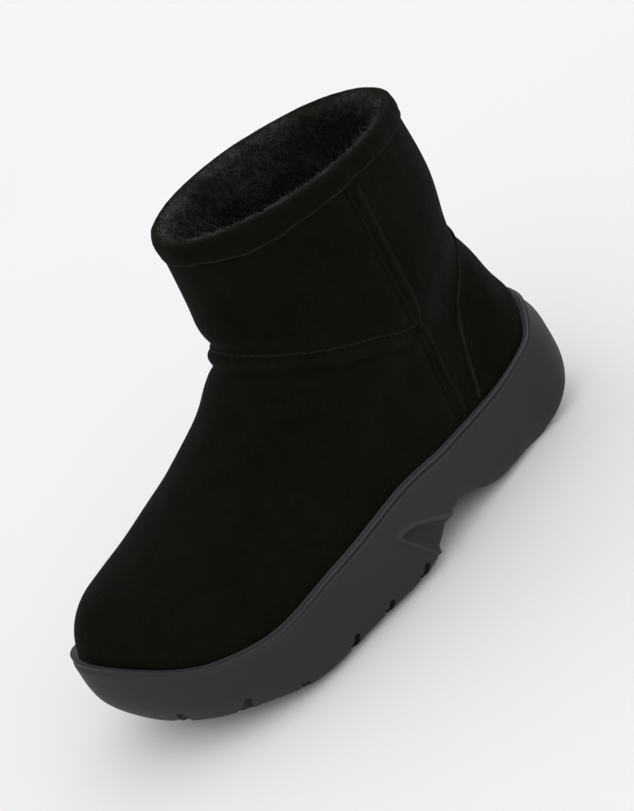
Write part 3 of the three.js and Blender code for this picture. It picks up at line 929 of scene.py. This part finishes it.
def overlay(name, edges, profile, wear_and_highlight_share, material, across=13):
    """A closed strip over the upper between two edges: profile gives its height, wear_and_highlight_share its
    paleness, which is painted highlight on its raised edges.
    """
    first, second = edges
    share = np.linspace(0, 1, across) if isinstance(across, int) else across
    place = first[:, None, :] + (second - first)[:, None, :] * share[None, :, None]
    point, out, _, _ = upper_frame(place[..., 0], place[..., 1])
    relief = fold_relief(point)
    span = np.linalg.norm(np.diff(point, axis=1), axis=-1)
    along = np.concatenate([np.zeros((len(first), 1)), np.cumsum(span, axis=1)], axis=1)
    height = profile(along, along[:, -1:])
    top = point + out * (relief + height)[..., None]
    under = point + out * (relief - SEWING_GAP)[..., None]
    rings = np.concatenate([top, under[:, ::-1]], axis=1)
    obj = loft(name, rings, material, smooth_angle=60)
    wear_and_highlight = wear_and_highlight_share(along, along[:, -1:]) * np.clip(0.8 + 0.5 * soft_noise(point, 5, 31), 0.2, 1.4)
    paint(obj, "wear_and_highlight", np.concatenate([wear_and_highlight, wear_and_highlight[:, ::-1]], axis=1))
    return obj


def across_path(path, reach, direction):
    """Edges at a distance in millimetres on both sides of a u, v path."""
    point, _, _, _ = upper_frame(path[:, 0], path[:, 1])
    step = np.array(direction) * 0.01
    ahead = plain_upper(path[:, 0] + step[0], path[:, 1] + step[1])
    scale = (reach / np.linalg.norm(ahead - point, axis=1))[:, None] * step[None, :]
    return path - scale, path + scale


def tape_profile(along, width):
    """Flat tape: a thin turned edge in front and a wider, softer ridge behind."""
    edge = np.clip(np.minimum(along, width - along) / 0.8, 0, 1) ** 0.7
    behind = 0.7 * swell(along - 2.0, 1.3)
    ahead = 0.45 * swell(width - along - 0.9, 0.55)
    return edge * 0.2 + behind + ahead


def tape_ridge_highlight(along, width):
    """Painted highlights on the tape's two ridges."""
    return 0.22 * swell(along - 2.0, 1.2) + 0.2 * swell(width - along - 0.8, 0.5)


def welt_profile(along, width):
    """Padded band: a low sewn edge above and one full round below that rolls under."""
    sewn = 0.8 * np.clip(along / 0.5, 0, 1) ** 0.5 * swell(along - 0.9, 1.3)
    roll = 2.1 * np.sin(np.pi * np.clip((along - 1.7) / (width - 1.7), 0, 1) ** 1.15) ** 0.8
    return np.maximum(sewn, roll) - 0.3 * np.clip((along - width + 0.8) / 0.8, 0, 1)


def welt_highlight(along, width):
    """Painted highlights along the welt's sewn edge and, faintly, over the top of its roll."""
    return 0.35 * swell(along - 0.7, 0.5) + 0.1 * swell(along - 0.5 * width, 2.5)


def counter_profile(along, width):
    """A flat patch with one rounded, slightly raised edge at each side."""
    edge = np.minimum(along, width - along)
    flat = 0.9 * np.clip(edge / 0.6, 0, 1) ** 0.5
    return flat + 0.35 * swell(edge - 0.9, 0.7) - 0.2 * swell(edge - 2.6, 0.7)


def counter_edge_highlight(along, width):
    """Painted highlights along the counter's raised edges."""
    return 1.0 * swell(np.minimum(along, width - along) - 0.8, 0.85)


def make_strip(side, material):
    """The tape over one side seam."""
    path = path_uv(SEAM_UV[side], 160)
    name = "side_tape_outer" if side > 0 else "side_tape_inner"
    edges = across_path(path, TAPE_REACH, (1, 0))

    def from_behind(shape):
        """The same shape across the tape on both sides of the boot, from its rear edge."""
        return lambda along, width: shape(along if side > 0 else width - along, width)

    return overlay(name, edges, from_behind(tape_profile), from_behind(tape_ridge_highlight), material, 27)


def make_welt(material):
    """The padded band over the ankle seam."""
    path = path_uv(ANKLE_UV, 280)
    below, above = across_path(path, WELT_REACH, (0, 1))
    return overlay("ankle_welt", (above, below), welt_profile, welt_highlight, material, 25)


def make_counter(material):
    """The heel counter: round the back between its two curved edges."""
    edge = path_uv(COUNTER_UV, 110)
    mirrored = edge * (-1, 1)
    share = np.linspace(0, 1, 71)
    crowded = 0.5 - 0.5 * np.cos(np.pi * share)
    blend = 0.25 * share + 0.75 * crowded
    return overlay("counter_patch", (mirrored, edge), counter_profile, counter_edge_highlight, material, blend)


def make_binding(material):
    """The folded band round the collar, with its overlap at the outer side seam."""
    u = np.arange(480) / 480
    seam_u = SEAM_UV[1][-1][0]
    turned = np.mod(u - seam_u + 0.5, 1) - 0.5
    step_back = np.clip(-turned / 0.004, 0, 1) * np.clip(1 + turned / 0.16, 0, 1)
    rings = []
    wear_and_highlight = []
    for v, outward, lift, wear_and_highlight_share in BINDING_SECTION:
        wander = 0.0007 * np.sin(2 * np.pi * u * 9 + 1.3) + 0.0005 * np.sin(2 * np.pi * u * 23)
        sag = 0.008 * swell(np.mod(u, 1) - 0.355, 0.05)
        level = np.full_like(u, v) + (wander + 0.0022 * step_back - sag if v < 0.99 else 0.0)
        level = np.minimum(level, 1.0)
        point, out, _, _ = upper_frame(u, level)
        pucker = 0.22 * soft_noise(point, 4.5, 8) + 0.3 * soft_noise(point, 17, 9)
        overlap = 0.7 * np.clip(turned / 0.003, 0, 1) * np.clip(1 - (turned - 0.002) / 0.03, 0, 1)
        lie = outward + fold_relief(point) * 0.6 + (pucker + overlap) * (outward > 0)
        moved = point + out * lie[:, None]
        moved[:, 2] += lift + 0.35 * soft_noise(point, 26, 10) * (v > 0.98)
        rings.append(moved)
        wear_and_highlight.append(np.full_like(u, wear_and_highlight_share))
    obj = loft("collar_band", rings, material, joined=True)
    fuzz = np.clip(0.75 + 0.6 * soft_noise(np.array(rings), 6, 11), 0.2, 1.3)
    paint(obj, "wear_and_highlight", np.array(wear_and_highlight) * fuzz)
    return obj


# ---------------------------------------------------------------- fleece


def fleece_surface(uu, vv, depth):
    """Points of the fleece's inner face, lumpy like curled wool."""
    point, out, _, _ = upper_frame(uu, vv)
    lumps = np.abs(soft_noise(point, 7.5, 12)) * 1.9 + np.abs(soft_noise(point, 3.4, 13)) * 1.1
    lumps = 1.5 - lumps
    return point + out * (fold_relief(point) * 0.5 - depth - lumps)[..., None], lumps


def make_fleece(material):
    """The lining: from the seat up the inside and out over the rim, closed behind the suede."""
    u = np.arange(360) / 360
    v = np.concatenate([np.linspace(0, 0.55, 34, endpoint=False), np.linspace(0.55, 0.995, 116)])[::-1]
    uu, vv = np.meshgrid(u, v)
    inner, lumps = fleece_surface(uu, vv, WALL - 1.0)
    rim_rings = []
    for depth, lift in FLEECE_RIM:
        point, out, _, _ = upper_frame(u, np.ones_like(u))
        puff = 0.5 * np.abs(soft_noise(point + (0, 0, depth * 3), 5, 14))
        ring = point - out * (depth + 0.5 * puff)[:, None]
        ring[:, 2] += lift + puff
        rim_rings.append(ring)
    rim = np.array(rim_rings)[::-1]
    outer_v = np.linspace(0, 0.995, 26)
    ouu, ovv = np.meshgrid(u, outer_v)
    outer = on_upper(ouu, ovv, -SUEDE - FLEECE_BEHIND)
    rings = np.concatenate([outer, rim, inner])
    obj = loft("fleece_lining", rings, material, joined=True)
    # The rim and the bulging lumps of the inner face are painted paler, partly the wool's tone and partly
    # painted highlight.
    wear_and_highlight = np.concatenate([np.zeros_like(ouu), np.full(rim.shape[:2], 0.3), np.clip(lumps * 0.5, 0, 1)])
    paint(obj, "wear_and_highlight", wear_and_highlight)
    return obj


def make_insole(material):
    """The padded, fleece-covered footbed."""
    u = np.arange(220) / 220
    rings = []
    wear_and_highlight = []
    for inset, lift in FOOTBED_EDGE:
        point, out, _, _ = upper_frame(u, np.zeros_like(u))
        ring = point - out * (WALL + FIT + inset)
        ring[:, 2] = seat_height(ring[:, 0]) + lift
        rings.append(ring)
        wear_and_highlight.append(np.full_like(u, 0.3))
    edge = rings[-1]
    centre_y = 0.5 * (edge[:, 1] + edge[(-np.arange(220)) % 220, 1])
    for share in np.linspace(0.9, 0.06, 16):
        ring = edge.copy()
        ring[:, 1] = centre_y + (edge[:, 1] - centre_y) * share
        lumps = np.abs(soft_noise(ring, 8, 15)) * 1.5
        ring[:, 2] = seat_height(ring[:, 0]) + 5.6 - lumps
        rings.append(ring)
        # The footbed's high spots are painted paler, partly the wool's tone and partly painted highlight.
        wear_and_highlight.append(np.clip(0.9 - lumps, 0, 1))
    obj = loft("footbed", rings, material)
    paint(obj, "wear_and_highlight", np.array(wear_and_highlight))
    return obj


# ---------------------------------------------------------------- geometry nodes


class Tree(Nodes):
    """A Geometry Nodes tree with named inputs."""

    def __init__(self, name, inputs):
        super().__init__(bpy.data.node_groups.new(name, "GeometryNodeTree"))
        face = self.graph.interface
        face.new_socket("Geometry", in_out="INPUT", socket_type="NodeSocketGeometry")
        face.new_socket("Geometry", in_out="OUTPUT", socket_type="NodeSocketGeometry")
        self.keys = {}
        for label, kind, default in inputs:
            socket = face.new_socket(label, in_out="INPUT", socket_type=kind)
            if default is not None:
                socket.default_value = default
            self.keys[label] = socket.identifier
        self.source = self.graph.nodes.new("NodeGroupInput")
        self.sink = self.graph.nodes.new("NodeGroupOutput")

    def value(self, label):
        """One of the tree's own inputs."""
        return self.source.outputs[label]

    def euler(self, low, high):
        """A random turn for each point, between two triples of angles."""
        inputs = {0: low, 1: high, "Seed": self.value("Seed")}
        return self.node("FunctionNodeRandomValue", inputs, data_type="FLOAT_VECTOR").outputs[0]

    def close(self, instances):
        """Makes the instances real, gives them their material and ends the tree."""
        solid = self.node("GeometryNodeRealizeInstances", {"Geometry": instances.outputs[0]})
        inputs = {"Geometry": solid.outputs[0], "Material": self.value("Material")}
        painted = self.node("GeometryNodeSetMaterial", inputs)
        self.graph.links.new(painted.outputs[0], self.sink.inputs[0])


def run_tree(host, tree, values, name):
    """Runs a tree on a host mesh and returns the result as a plain mesh object."""
    modifier = host.modifiers.new(tree.graph.name, "NODES")
    modifier.node_group = tree.graph
    for label, value in values.items():
        modifier[tree.keys[label]] = value
    depsgraph = bpy.context.evaluated_depsgraph_get()
    mesh = bpy.data.meshes.new_from_object(host.evaluated_get(depsgraph))
    host.modifiers.remove(modifier)
    if not mesh.polygons:
        raise RuntimeError(f"{name} came out empty")
    mesh.name = name
    mesh.shade_smooth()
    obj = bpy.data.objects.new(name, mesh)
    bpy.context.scene.collection.objects.link(obj)
    bpy.data.objects.remove(host)
    return obj


def stitch_tree():
    """Stitches along the edges of a mesh path: one short round-ended thread for each."""
    tree = Tree(
        "stitch_run",
        (
            ("Stitch Length", "NodeSocketFloat", 0.003),
            ("Gap", "NodeSocketFloat", 0.001),
            ("Thread", "NodeSocketFloat", 0.0008),
            ("Seed", "NodeSocketInt", 1),
            ("Material", "NodeSocketMaterial", None),
        ),
    )
    pitch = tree.math("ADD", tree.value("Stitch Length"), tree.value("Gap"))
    curve = tree.node("GeometryNodeMeshToCurve", {"Mesh": tree.source.outputs["Geometry"]})
    along = {"Curve": curve.outputs[0], "Length": pitch}
    spaced = tree.node("GeometryNodeResampleCurve", along, mode="LENGTH")
    ball = tree.node("GeometryNodeMeshUVSphere", {"Segments": 8, "Rings": 6, "Radius": 0.5})
    tangent = tree.node("GeometryNodeInputTangent").outputs[0]
    turn = tree.node("FunctionNodeAlignRotationToVector", {"Vector": tangent}, axis="Z").outputs[0]
    wobble = tree.euler((-0.09, -0.09, -0.09), (0.09, 0.09, 0.09))
    tilt = tree.node("FunctionNodeEulerToRotation", {"Euler": wobble}).outputs[0]
    turn = tree.node("FunctionNodeRotateRotation", {"Rotation": turn, "Rotate By": tilt}).outputs[0]
    thread = tree.value("Thread")
    size = tree.node("ShaderNodeCombineXYZ", {"X": thread, "Y": thread, "Z": tree.value("Stitch Length")})
    placed = tree.node(
        "GeometryNodeInstanceOnPoints",
        {
            "Points": spaced.outputs[0],
            "Instance": ball.outputs[0],
            "Rotation": turn,
            "Scale": size.outputs[0],
        },
    )
    tree.close(placed)
    return tree


def path_host(name, paths):
    """A mesh of edges only, one chain for each path of millimetre points."""
    vertices = []
    edges = []
    for path in paths:
        first = len(vertices)
        moved = (np.asarray(path) - (SOLE_LENGTH / 2, 0, 0)) * MM
        vertices.extend(moved.tolist())
        edges.extend((first + i, first + i + 1) for i in range(len(path) - 1))
    mesh = bpy.data.meshes.new(name)
    mesh.from_pydata(vertices, edges, [])
    obj = bpy.data.objects.new(name, mesh)
    bpy.context.scene.collection.objects.link(obj)
    return obj


def sewn(name, paths, tree, material, seed):
    """One sewn line or group of lines as a piece."""
    settings = looks()
    values = {
        "Stitch Length": settings.stitch_length,
        "Gap": settings.stitch_gap,
        "Thread": settings.thread_width,
        "Seed": seed,
        "Material": material,
    }
    finish_piece(run_tree(path_host(name + "_path", paths), tree, values, name), "suede_overlay")


def offset_line(path, reach, direction, outward):
    """A line beside a u, v path on the finished upper."""
    before, after = across_path(path, abs(reach), direction)
    line = after if reach > 0 else before
    return on_upper(line[:, 0], line[:, 1], outward)


def tuft_tree():
    """Wool hairs scattered over a surface, leaning together in clumps."""
    tree = Tree(
        "fleece_tufts",
        (
            ("Count", "NodeSocketInt", 1000),
            ("Length", "NodeSocketFloat", 0.003),
            ("Thickness", "NodeSocketFloat", 0.0003),
            ("Lean", "NodeSocketFloat", 3.0),
            ("Tip", "NodeSocketFloat", 1.0),
            ("Seed", "NodeSocketInt", 3),
            ("Material", "NodeSocketMaterial", None),
        ),
    )
    source = tree.source.outputs["Geometry"]
    area = tree.node(
        "GeometryNodeAttributeStatistic",
        {"Geometry": source, "Attribute": tree.node("GeometryNodeInputMeshFaceArea").outputs[0]},
        domain="FACE",
    ).outputs["Sum"]
    density = tree.math("DIVIDE", tree.value("Count"), area)
    scatter = tree.node(
        "GeometryNodeDistributePointsOnFaces",
        {"Mesh": source, "Density": density, "Seed": tree.value("Seed")},
        distribute_method="RANDOM",
    )
    curl = tree.node(
        "GeometryNodeCurvePrimitiveBezierSegment",
        {
            "Resolution": 2,
            "Start": (0, 0, 0),
            "Start Handle": (0.0, 0, 0.5),
            "End Handle": (0.3, 0.1, 0.9),
            "End": (0.62, 0.25, 0.78),
        },
    )
    taper = tree.node("GeometryNodeSplineParameter").outputs["Factor"]
    # Hairs grow paler towards the tip, partly their own colour and partly painted highlight.
    paleness = tree.remap(taper, 0.15, 1.0, 0.1, tree.value("Tip"))
    highlighted = {"Geometry": curl.outputs[0], "Name": "wear_and_highlight", "Value": paleness}
    stored = tree.node("GeometryNodeStoreNamedAttribute", highlighted)
    width = tree.remap(taper, 0.0, 1.0, 1.0, 0.3)
    thick = tree.math("DIVIDE", tree.value("Thickness"), tree.value("Length"))
    radius = tree.math("MULTIPLY", width, thick)
    circle = tree.node("GeometryNodeCurvePrimitiveCircle", {"Resolution": 3, "Radius": 1.0})
    hair = {"Curve": stored.outputs[0], "Profile Curve": circle.outputs[0], "Scale": radius}
    blade = tree.node("GeometryNodeCurveToMesh", hair)
    clump = tree.node("ShaderNodeTexNoise", {"Scale": 260.0, "Detail": 1.0}).outputs["Color"]
    centred = tree.node("ShaderNodeVectorMath", {0: clump, 1: (0.5, 0.5, 0.5)}, operation="SUBTRACT")
    leaning = {0: centred.outputs[0], "Scale": tree.value("Lean")}
    lean = tree.node("ShaderNodeVectorMath", leaning, operation="SCALE").outputs[0]
    spin = tree.euler((-0.4, -0.4, -3.2), (0.4, 0.4, 3.2))
    both = tree.node("ShaderNodeVectorMath", {0: lean, 1: spin}, operation="ADD").outputs[0]
    tilt = tree.node("FunctionNodeEulerToRotation", {"Euler": both}).outputs[0]
    turn = tree.node(
        "FunctionNodeRotateRotation",
        {"Rotation": scatter.outputs["Rotation"], "Rotate By": tilt},
        rotation_space="LOCAL",
    )
    vary = tree.node("FunctionNodeRandomValue", {2: 0.55, 3: 1.25, "Seed": tree.value("Seed")}).outputs[1]
    scale = tree.math("MULTIPLY", vary, tree.value("Length"))
    placed = tree.node(
        "GeometryNodeInstanceOnPoints",
        {
            "Points": scatter.outputs["Points"],
            "Instance": blade.outputs[0],
            "Rotation": turn.outputs[0],
            "Scale": scale,
        },
    )
    tree.close(placed)
    return tree


def side_faces(rings):
    """The quads between rings without the caps at both ends."""
    columns = len(rings[0])
    return ring_faces(len(rings), columns)[: (len(rings) - 1) * columns]


def pile_host(name, sides):
    """The top of the fleece's inner face between two places round it, for hairs to stand on."""
    u = np.arange(220) / 220
    v = np.linspace(FLEECE_LEVEL, 0.998, 40)[::-1]
    uu, vv = np.meshgrid(u, v)
    inner, _ = fleece_surface(uu, vv, WALL - 1.2)
    kept = [face for face in side_faces(inner) if sides[0] <= (face[0] % len(u)) / len(u) < sides[1]]
    return to_object(name, inner, kept, bpy.data.materials["fleece"])


def fringe_host():
    """The narrow ledge between the band's inner edge and the fleece."""
    u = np.arange(400) / 400
    point, out, _, _ = upper_frame(u, np.ones_like(u))
    rings = []
    for depth, lift in FRINGE_LEDGE:
        ring = point - out * depth
        ring[:, 2] += lift
        rings.append(ring)
    return to_object("fringe_host", rings, side_faces(rings), bpy.data.materials["fleece"])


# ---------------------------------------------------------------- operators


class BOOT_OT_sole(bpy.types.Operator):
    """Build the moulded sole"""

    bl_idname = "boot.sole"
    bl_label = "Sole"

    def execute(self, context):
        settings = looks()
        material = rubber_material("sole_rubber", settings.sole_grey, settings.lip_highlight_grey)
        finish_piece(make_sole(material), "rubber", "sole")
        return {"FINISHED"}


class BOOT_OT_upper(bpy.types.Operator):
    """Build the suede shell of the upper"""

    bl_idname = "boot.upper"
    bl_label = "Upper"

    def execute(self, context):
        settings = looks()
        material = suede_material("suede", settings.suede_grey, settings.suede_wear_and_highlight)
        finish_piece(make_upper(material), "suede", "upper")
        return {"FINISHED"}


class BOOT_OT_overlays(bpy.types.Operator):
    """Build the side tapes, the ankle welt and the heel counter"""

    bl_idname = "boot.overlays"
    bl_label = "Overlays"

    def execute(self, context):
        settings = looks()
        material = suede_material("suede_overlay", settings.suede_grey, settings.suede_wear_and_highlight)
        slot = "suede_overlay"
        finish_piece(make_strip(1, material), slot, "side_strip_lateral")
        finish_piece(make_strip(-1, material), slot, "side_strip_medial")
        finish_piece(make_welt(material), slot, "ankle_seam_band")
        finish_piece(make_counter(material), slot, "heel_counter")
        return {"FINISHED"}


class BOOT_OT_binding(bpy.types.Operator):
    """Build the folded band round the collar"""

    bl_idname = "boot.binding"
    bl_label = "Collar band"

    def execute(self, context):
        settings = looks()
        material = suede_material("binding_suede", settings.suede_grey, settings.suede_wear_and_highlight)
        finish_piece(make_binding(material), "binding", "collar_binding")
        return {"FINISHED"}


class BOOT_OT_fleece(bpy.types.Operator):
    """Build the fleece lining, its tufts and the footbed"""

    bl_idname = "boot.fleece"
    bl_label = "Fleece"

    def execute(self, context):
        settings = looks()
        material = fleece_material("fleece", settings.fleece_grey, settings.fleece_tip)
        finish_piece(make_fleece(material), "fleece")
        footbed = finish_piece(make_insole(material), "fleece", "insole")
        tree = tuft_tree()
        halves = (("fleece_pile_outer", (0.0, 0.5)), ("fleece_pile_inner", (0.5, 1.0)))
        for seed, (name, sides) in enumerate(halves):
            values = {
                "Count": settings.tuft_count // 2,
                "Length": settings.tuft_length,
                "Thickness": settings.hair_width,
                "Lean": 4.2,
                "Tip": 0.75,
                "Seed": 11 + seed,
                "Material": material,
            }
            host = pile_host(name + "_host", sides)
            finish_piece(run_tree(host, tree, values, name), "fleece")
        values.update({"Count": 9500, "Length": 0.002, "Lean": 1.8, "Tip": 1.3, "Seed": 21})
        finish_piece(run_tree(fringe_host(), tree, values, "fleece_fringe"), "fleece")
        return {"FINISHED"}


class BOOT_OT_stitches(bpy.types.Operator):
    """Sew the seams"""

    bl_idname = "boot.stitches"
    bl_label = "Stitches"

    def execute(self, context):
        settings = looks()
        tree = stitch_tree()
        thread = thread_material("thread", settings.thread_grey)
        ankle = [offset_line(path_uv(ANKLE_UV, 300), 3.6, (0, 1), 0.72)]
        sewn("ankle_stitches", ankle, tree, thread, 3)
        quiet = thread_material("quiet_thread", settings.thread_grey * 0.8)
        seams = [offset_line(path_uv(SEAM_UV[side], 200), 2.9 * side, (1, 0), 0.3) for side in (1, -1)]
        sewn("tape_stitches", seams, tree, quiet, 5)
        line, _ = across_path(path_uv(COUNTER_UV, 160), 1.9, (1, 0))
        edges = [on_upper(side * line[:, 0], line[:, 1], 0.95) for side in (1, -1)]
        sewn("counter_stitches", edges, tree, quiet, 4)
        return {"FINISHED"}


class BOOT_OT_stage(bpy.types.Operator):
    """Set the floor, the lights and the camera"""

    bl_idname = "boot.stage"
    bl_label = "Stage"

    def execute(self, context):
        make_floor()
        make_lights()
        make_camera()
        return {"FINISHED"}


def make_floor():
    """A plain pale floor."""
    mesh = bpy.data.meshes.new("floor")
    reach = 8.0
    corners = [(-reach, -reach, 0), (reach, -reach, 0), (reach, reach, 0), (-reach, reach, 0)]
    mesh.from_pydata(corners, [], [(0, 1, 2, 3)])
    s = Shader("floor_paint")
    tone = s.remap(s.noise(3, 2, 0.5), 0.3, 0.7, 0.86, 0.88)
    mesh.materials.append(s.set(Base_Color=s.mix(tone, grey(0.0), grey(1.0)), Roughness=0.9))
    floor = bpy.data.objects.new("floor", mesh)
    bpy.context.scene.collection.objects.link(floor)


def soft_sun(name, towards, strength, spread):
    """Even light from a wide patch of sky, given by the direction towards it."""
    lamp = bpy.data.lights.new(name, "SUN")
    lamp.energy = strength
    lamp.angle = math.radians(spread)
    obj = bpy.data.objects.new(name, lamp)
    obj.rotation_euler = Vector(towards).to_track_quat("Z", "Y").to_euler()
    bpy.context.scene.collection.objects.link(obj)


def make_lights():
    """Soft studio light from all round, a little stronger from above."""
    world = bpy.data.worlds.new("studio")
    world.use_nodes = True
    back = world.node_tree.nodes["Background"]
    back.inputs["Color"].default_value = (1, 1, 1, 1)
    back.inputs["Strength"].default_value = 0.84
    bpy.context.scene.world = world
    soft_sun("key", (0.55, 0.35, 0.85), 0.5, 70)
    soft_sun("fill", (0.1, 0.8, 0.65), 0.3, 80)
    soft_sun("rear", (-0.6, 0.1, 0.8), 0.12, 80)


CAMERA_YAW = 26.0  # degrees
CAMERA_RISE = 26.6
CAMERA_ROLL = 29.5
CAMERA_TARGET = (-0.0155, 0.0, 0.075)
CAMERA_DISTANCE = 1.2085
CAMERA_LENS = 78.68


def camera_axes(yaw, rise, roll):
    """Right, up and back of a camera on the outer side, turned towards the toe and rolled."""
    t, p, r = (math.radians(angle) for angle in (yaw, rise, roll))
    back = Vector((math.sin(t) * math.cos(p), math.cos(t) * math.cos(p), math.sin(p)))
    right = Vector((-math.cos(t), math.sin(t), 0))
    up = back.cross(right)
    return (
        math.cos(r) * right - math.sin(r) * up,
        math.sin(r) * right + math.cos(r) * up,
        back,
    )


def make_camera():
    """Three-quarter view from the outer side and above, rolled so that the toe points down."""
    right, up, back = camera_axes(CAMERA_YAW, CAMERA_RISE, CAMERA_ROLL)
    target = Vector(CAMERA_TARGET) - right * 0.0011 + up * 0.0053
    place = target + back * CAMERA_DISTANCE
    data = bpy.data.cameras.new("view")
    data.sensor_fit = "VERTICAL"
    data.sensor_height = 24.0
    data.lens = CAMERA_LENS
    camera = bpy.data.objects.new("view", data)
    camera.matrix_world = Matrix(
        (
            (right.x, up.x, back.x, place.x),
            (right.y, up.y, back.y, place.y),
            (right.z, up.z, back.z, place.z),
            (0, 0, 0, 1),
        )
    )
    bpy.context.scene.collection.objects.link(camera)
    bpy.context.scene.camera = camera


class BOOT_PT_panel(bpy.types.Panel):
    """The boot's steps in the sidebar"""

    bl_idname = "BOOT_PT_panel"
    bl_label = "Sheepskin ankle boot"
    bl_space_type = "VIEW_3D"
    bl_region_type = "UI"
    bl_category = "Boot"

    def draw(self, context):
        settings = context.scene.boot_looks
        for name in BootLooks.__annotations__:
            self.layout.prop(settings, name)
        for step in STEPS:
            self.layout.operator(step.bl_idname)


STEPS = (
    BOOT_OT_stage,
    BOOT_OT_sole,
    BOOT_OT_upper,
    BOOT_OT_overlays,
    BOOT_OT_binding,
    BOOT_OT_fleece,
    BOOT_OT_stitches,
)


def register():
    """Make the settings, the steps and the panel known."""
    for item in (BootLooks, *STEPS, BOOT_PT_panel):
        bpy.utils.register_class(item)
    bpy.types.Scene.boot_looks = bpy.props.PointerProperty(type=BootLooks)


def unregister():
    """Take them away again."""
    del bpy.types.Scene.boot_looks
    for item in reversed((BootLooks, *STEPS, BOOT_PT_panel)):
        bpy.utils.unregister_class(item)


def main():
    """Build the boot."""
    register()
    bpy.context.scene.view_settings.view_transform = "Standard"
    for step in STEPS:
        group, name = step.bl_idname.split(".")
        getattr(getattr(bpy.ops, group), name)()


if __name__ == "__main__":
    main()
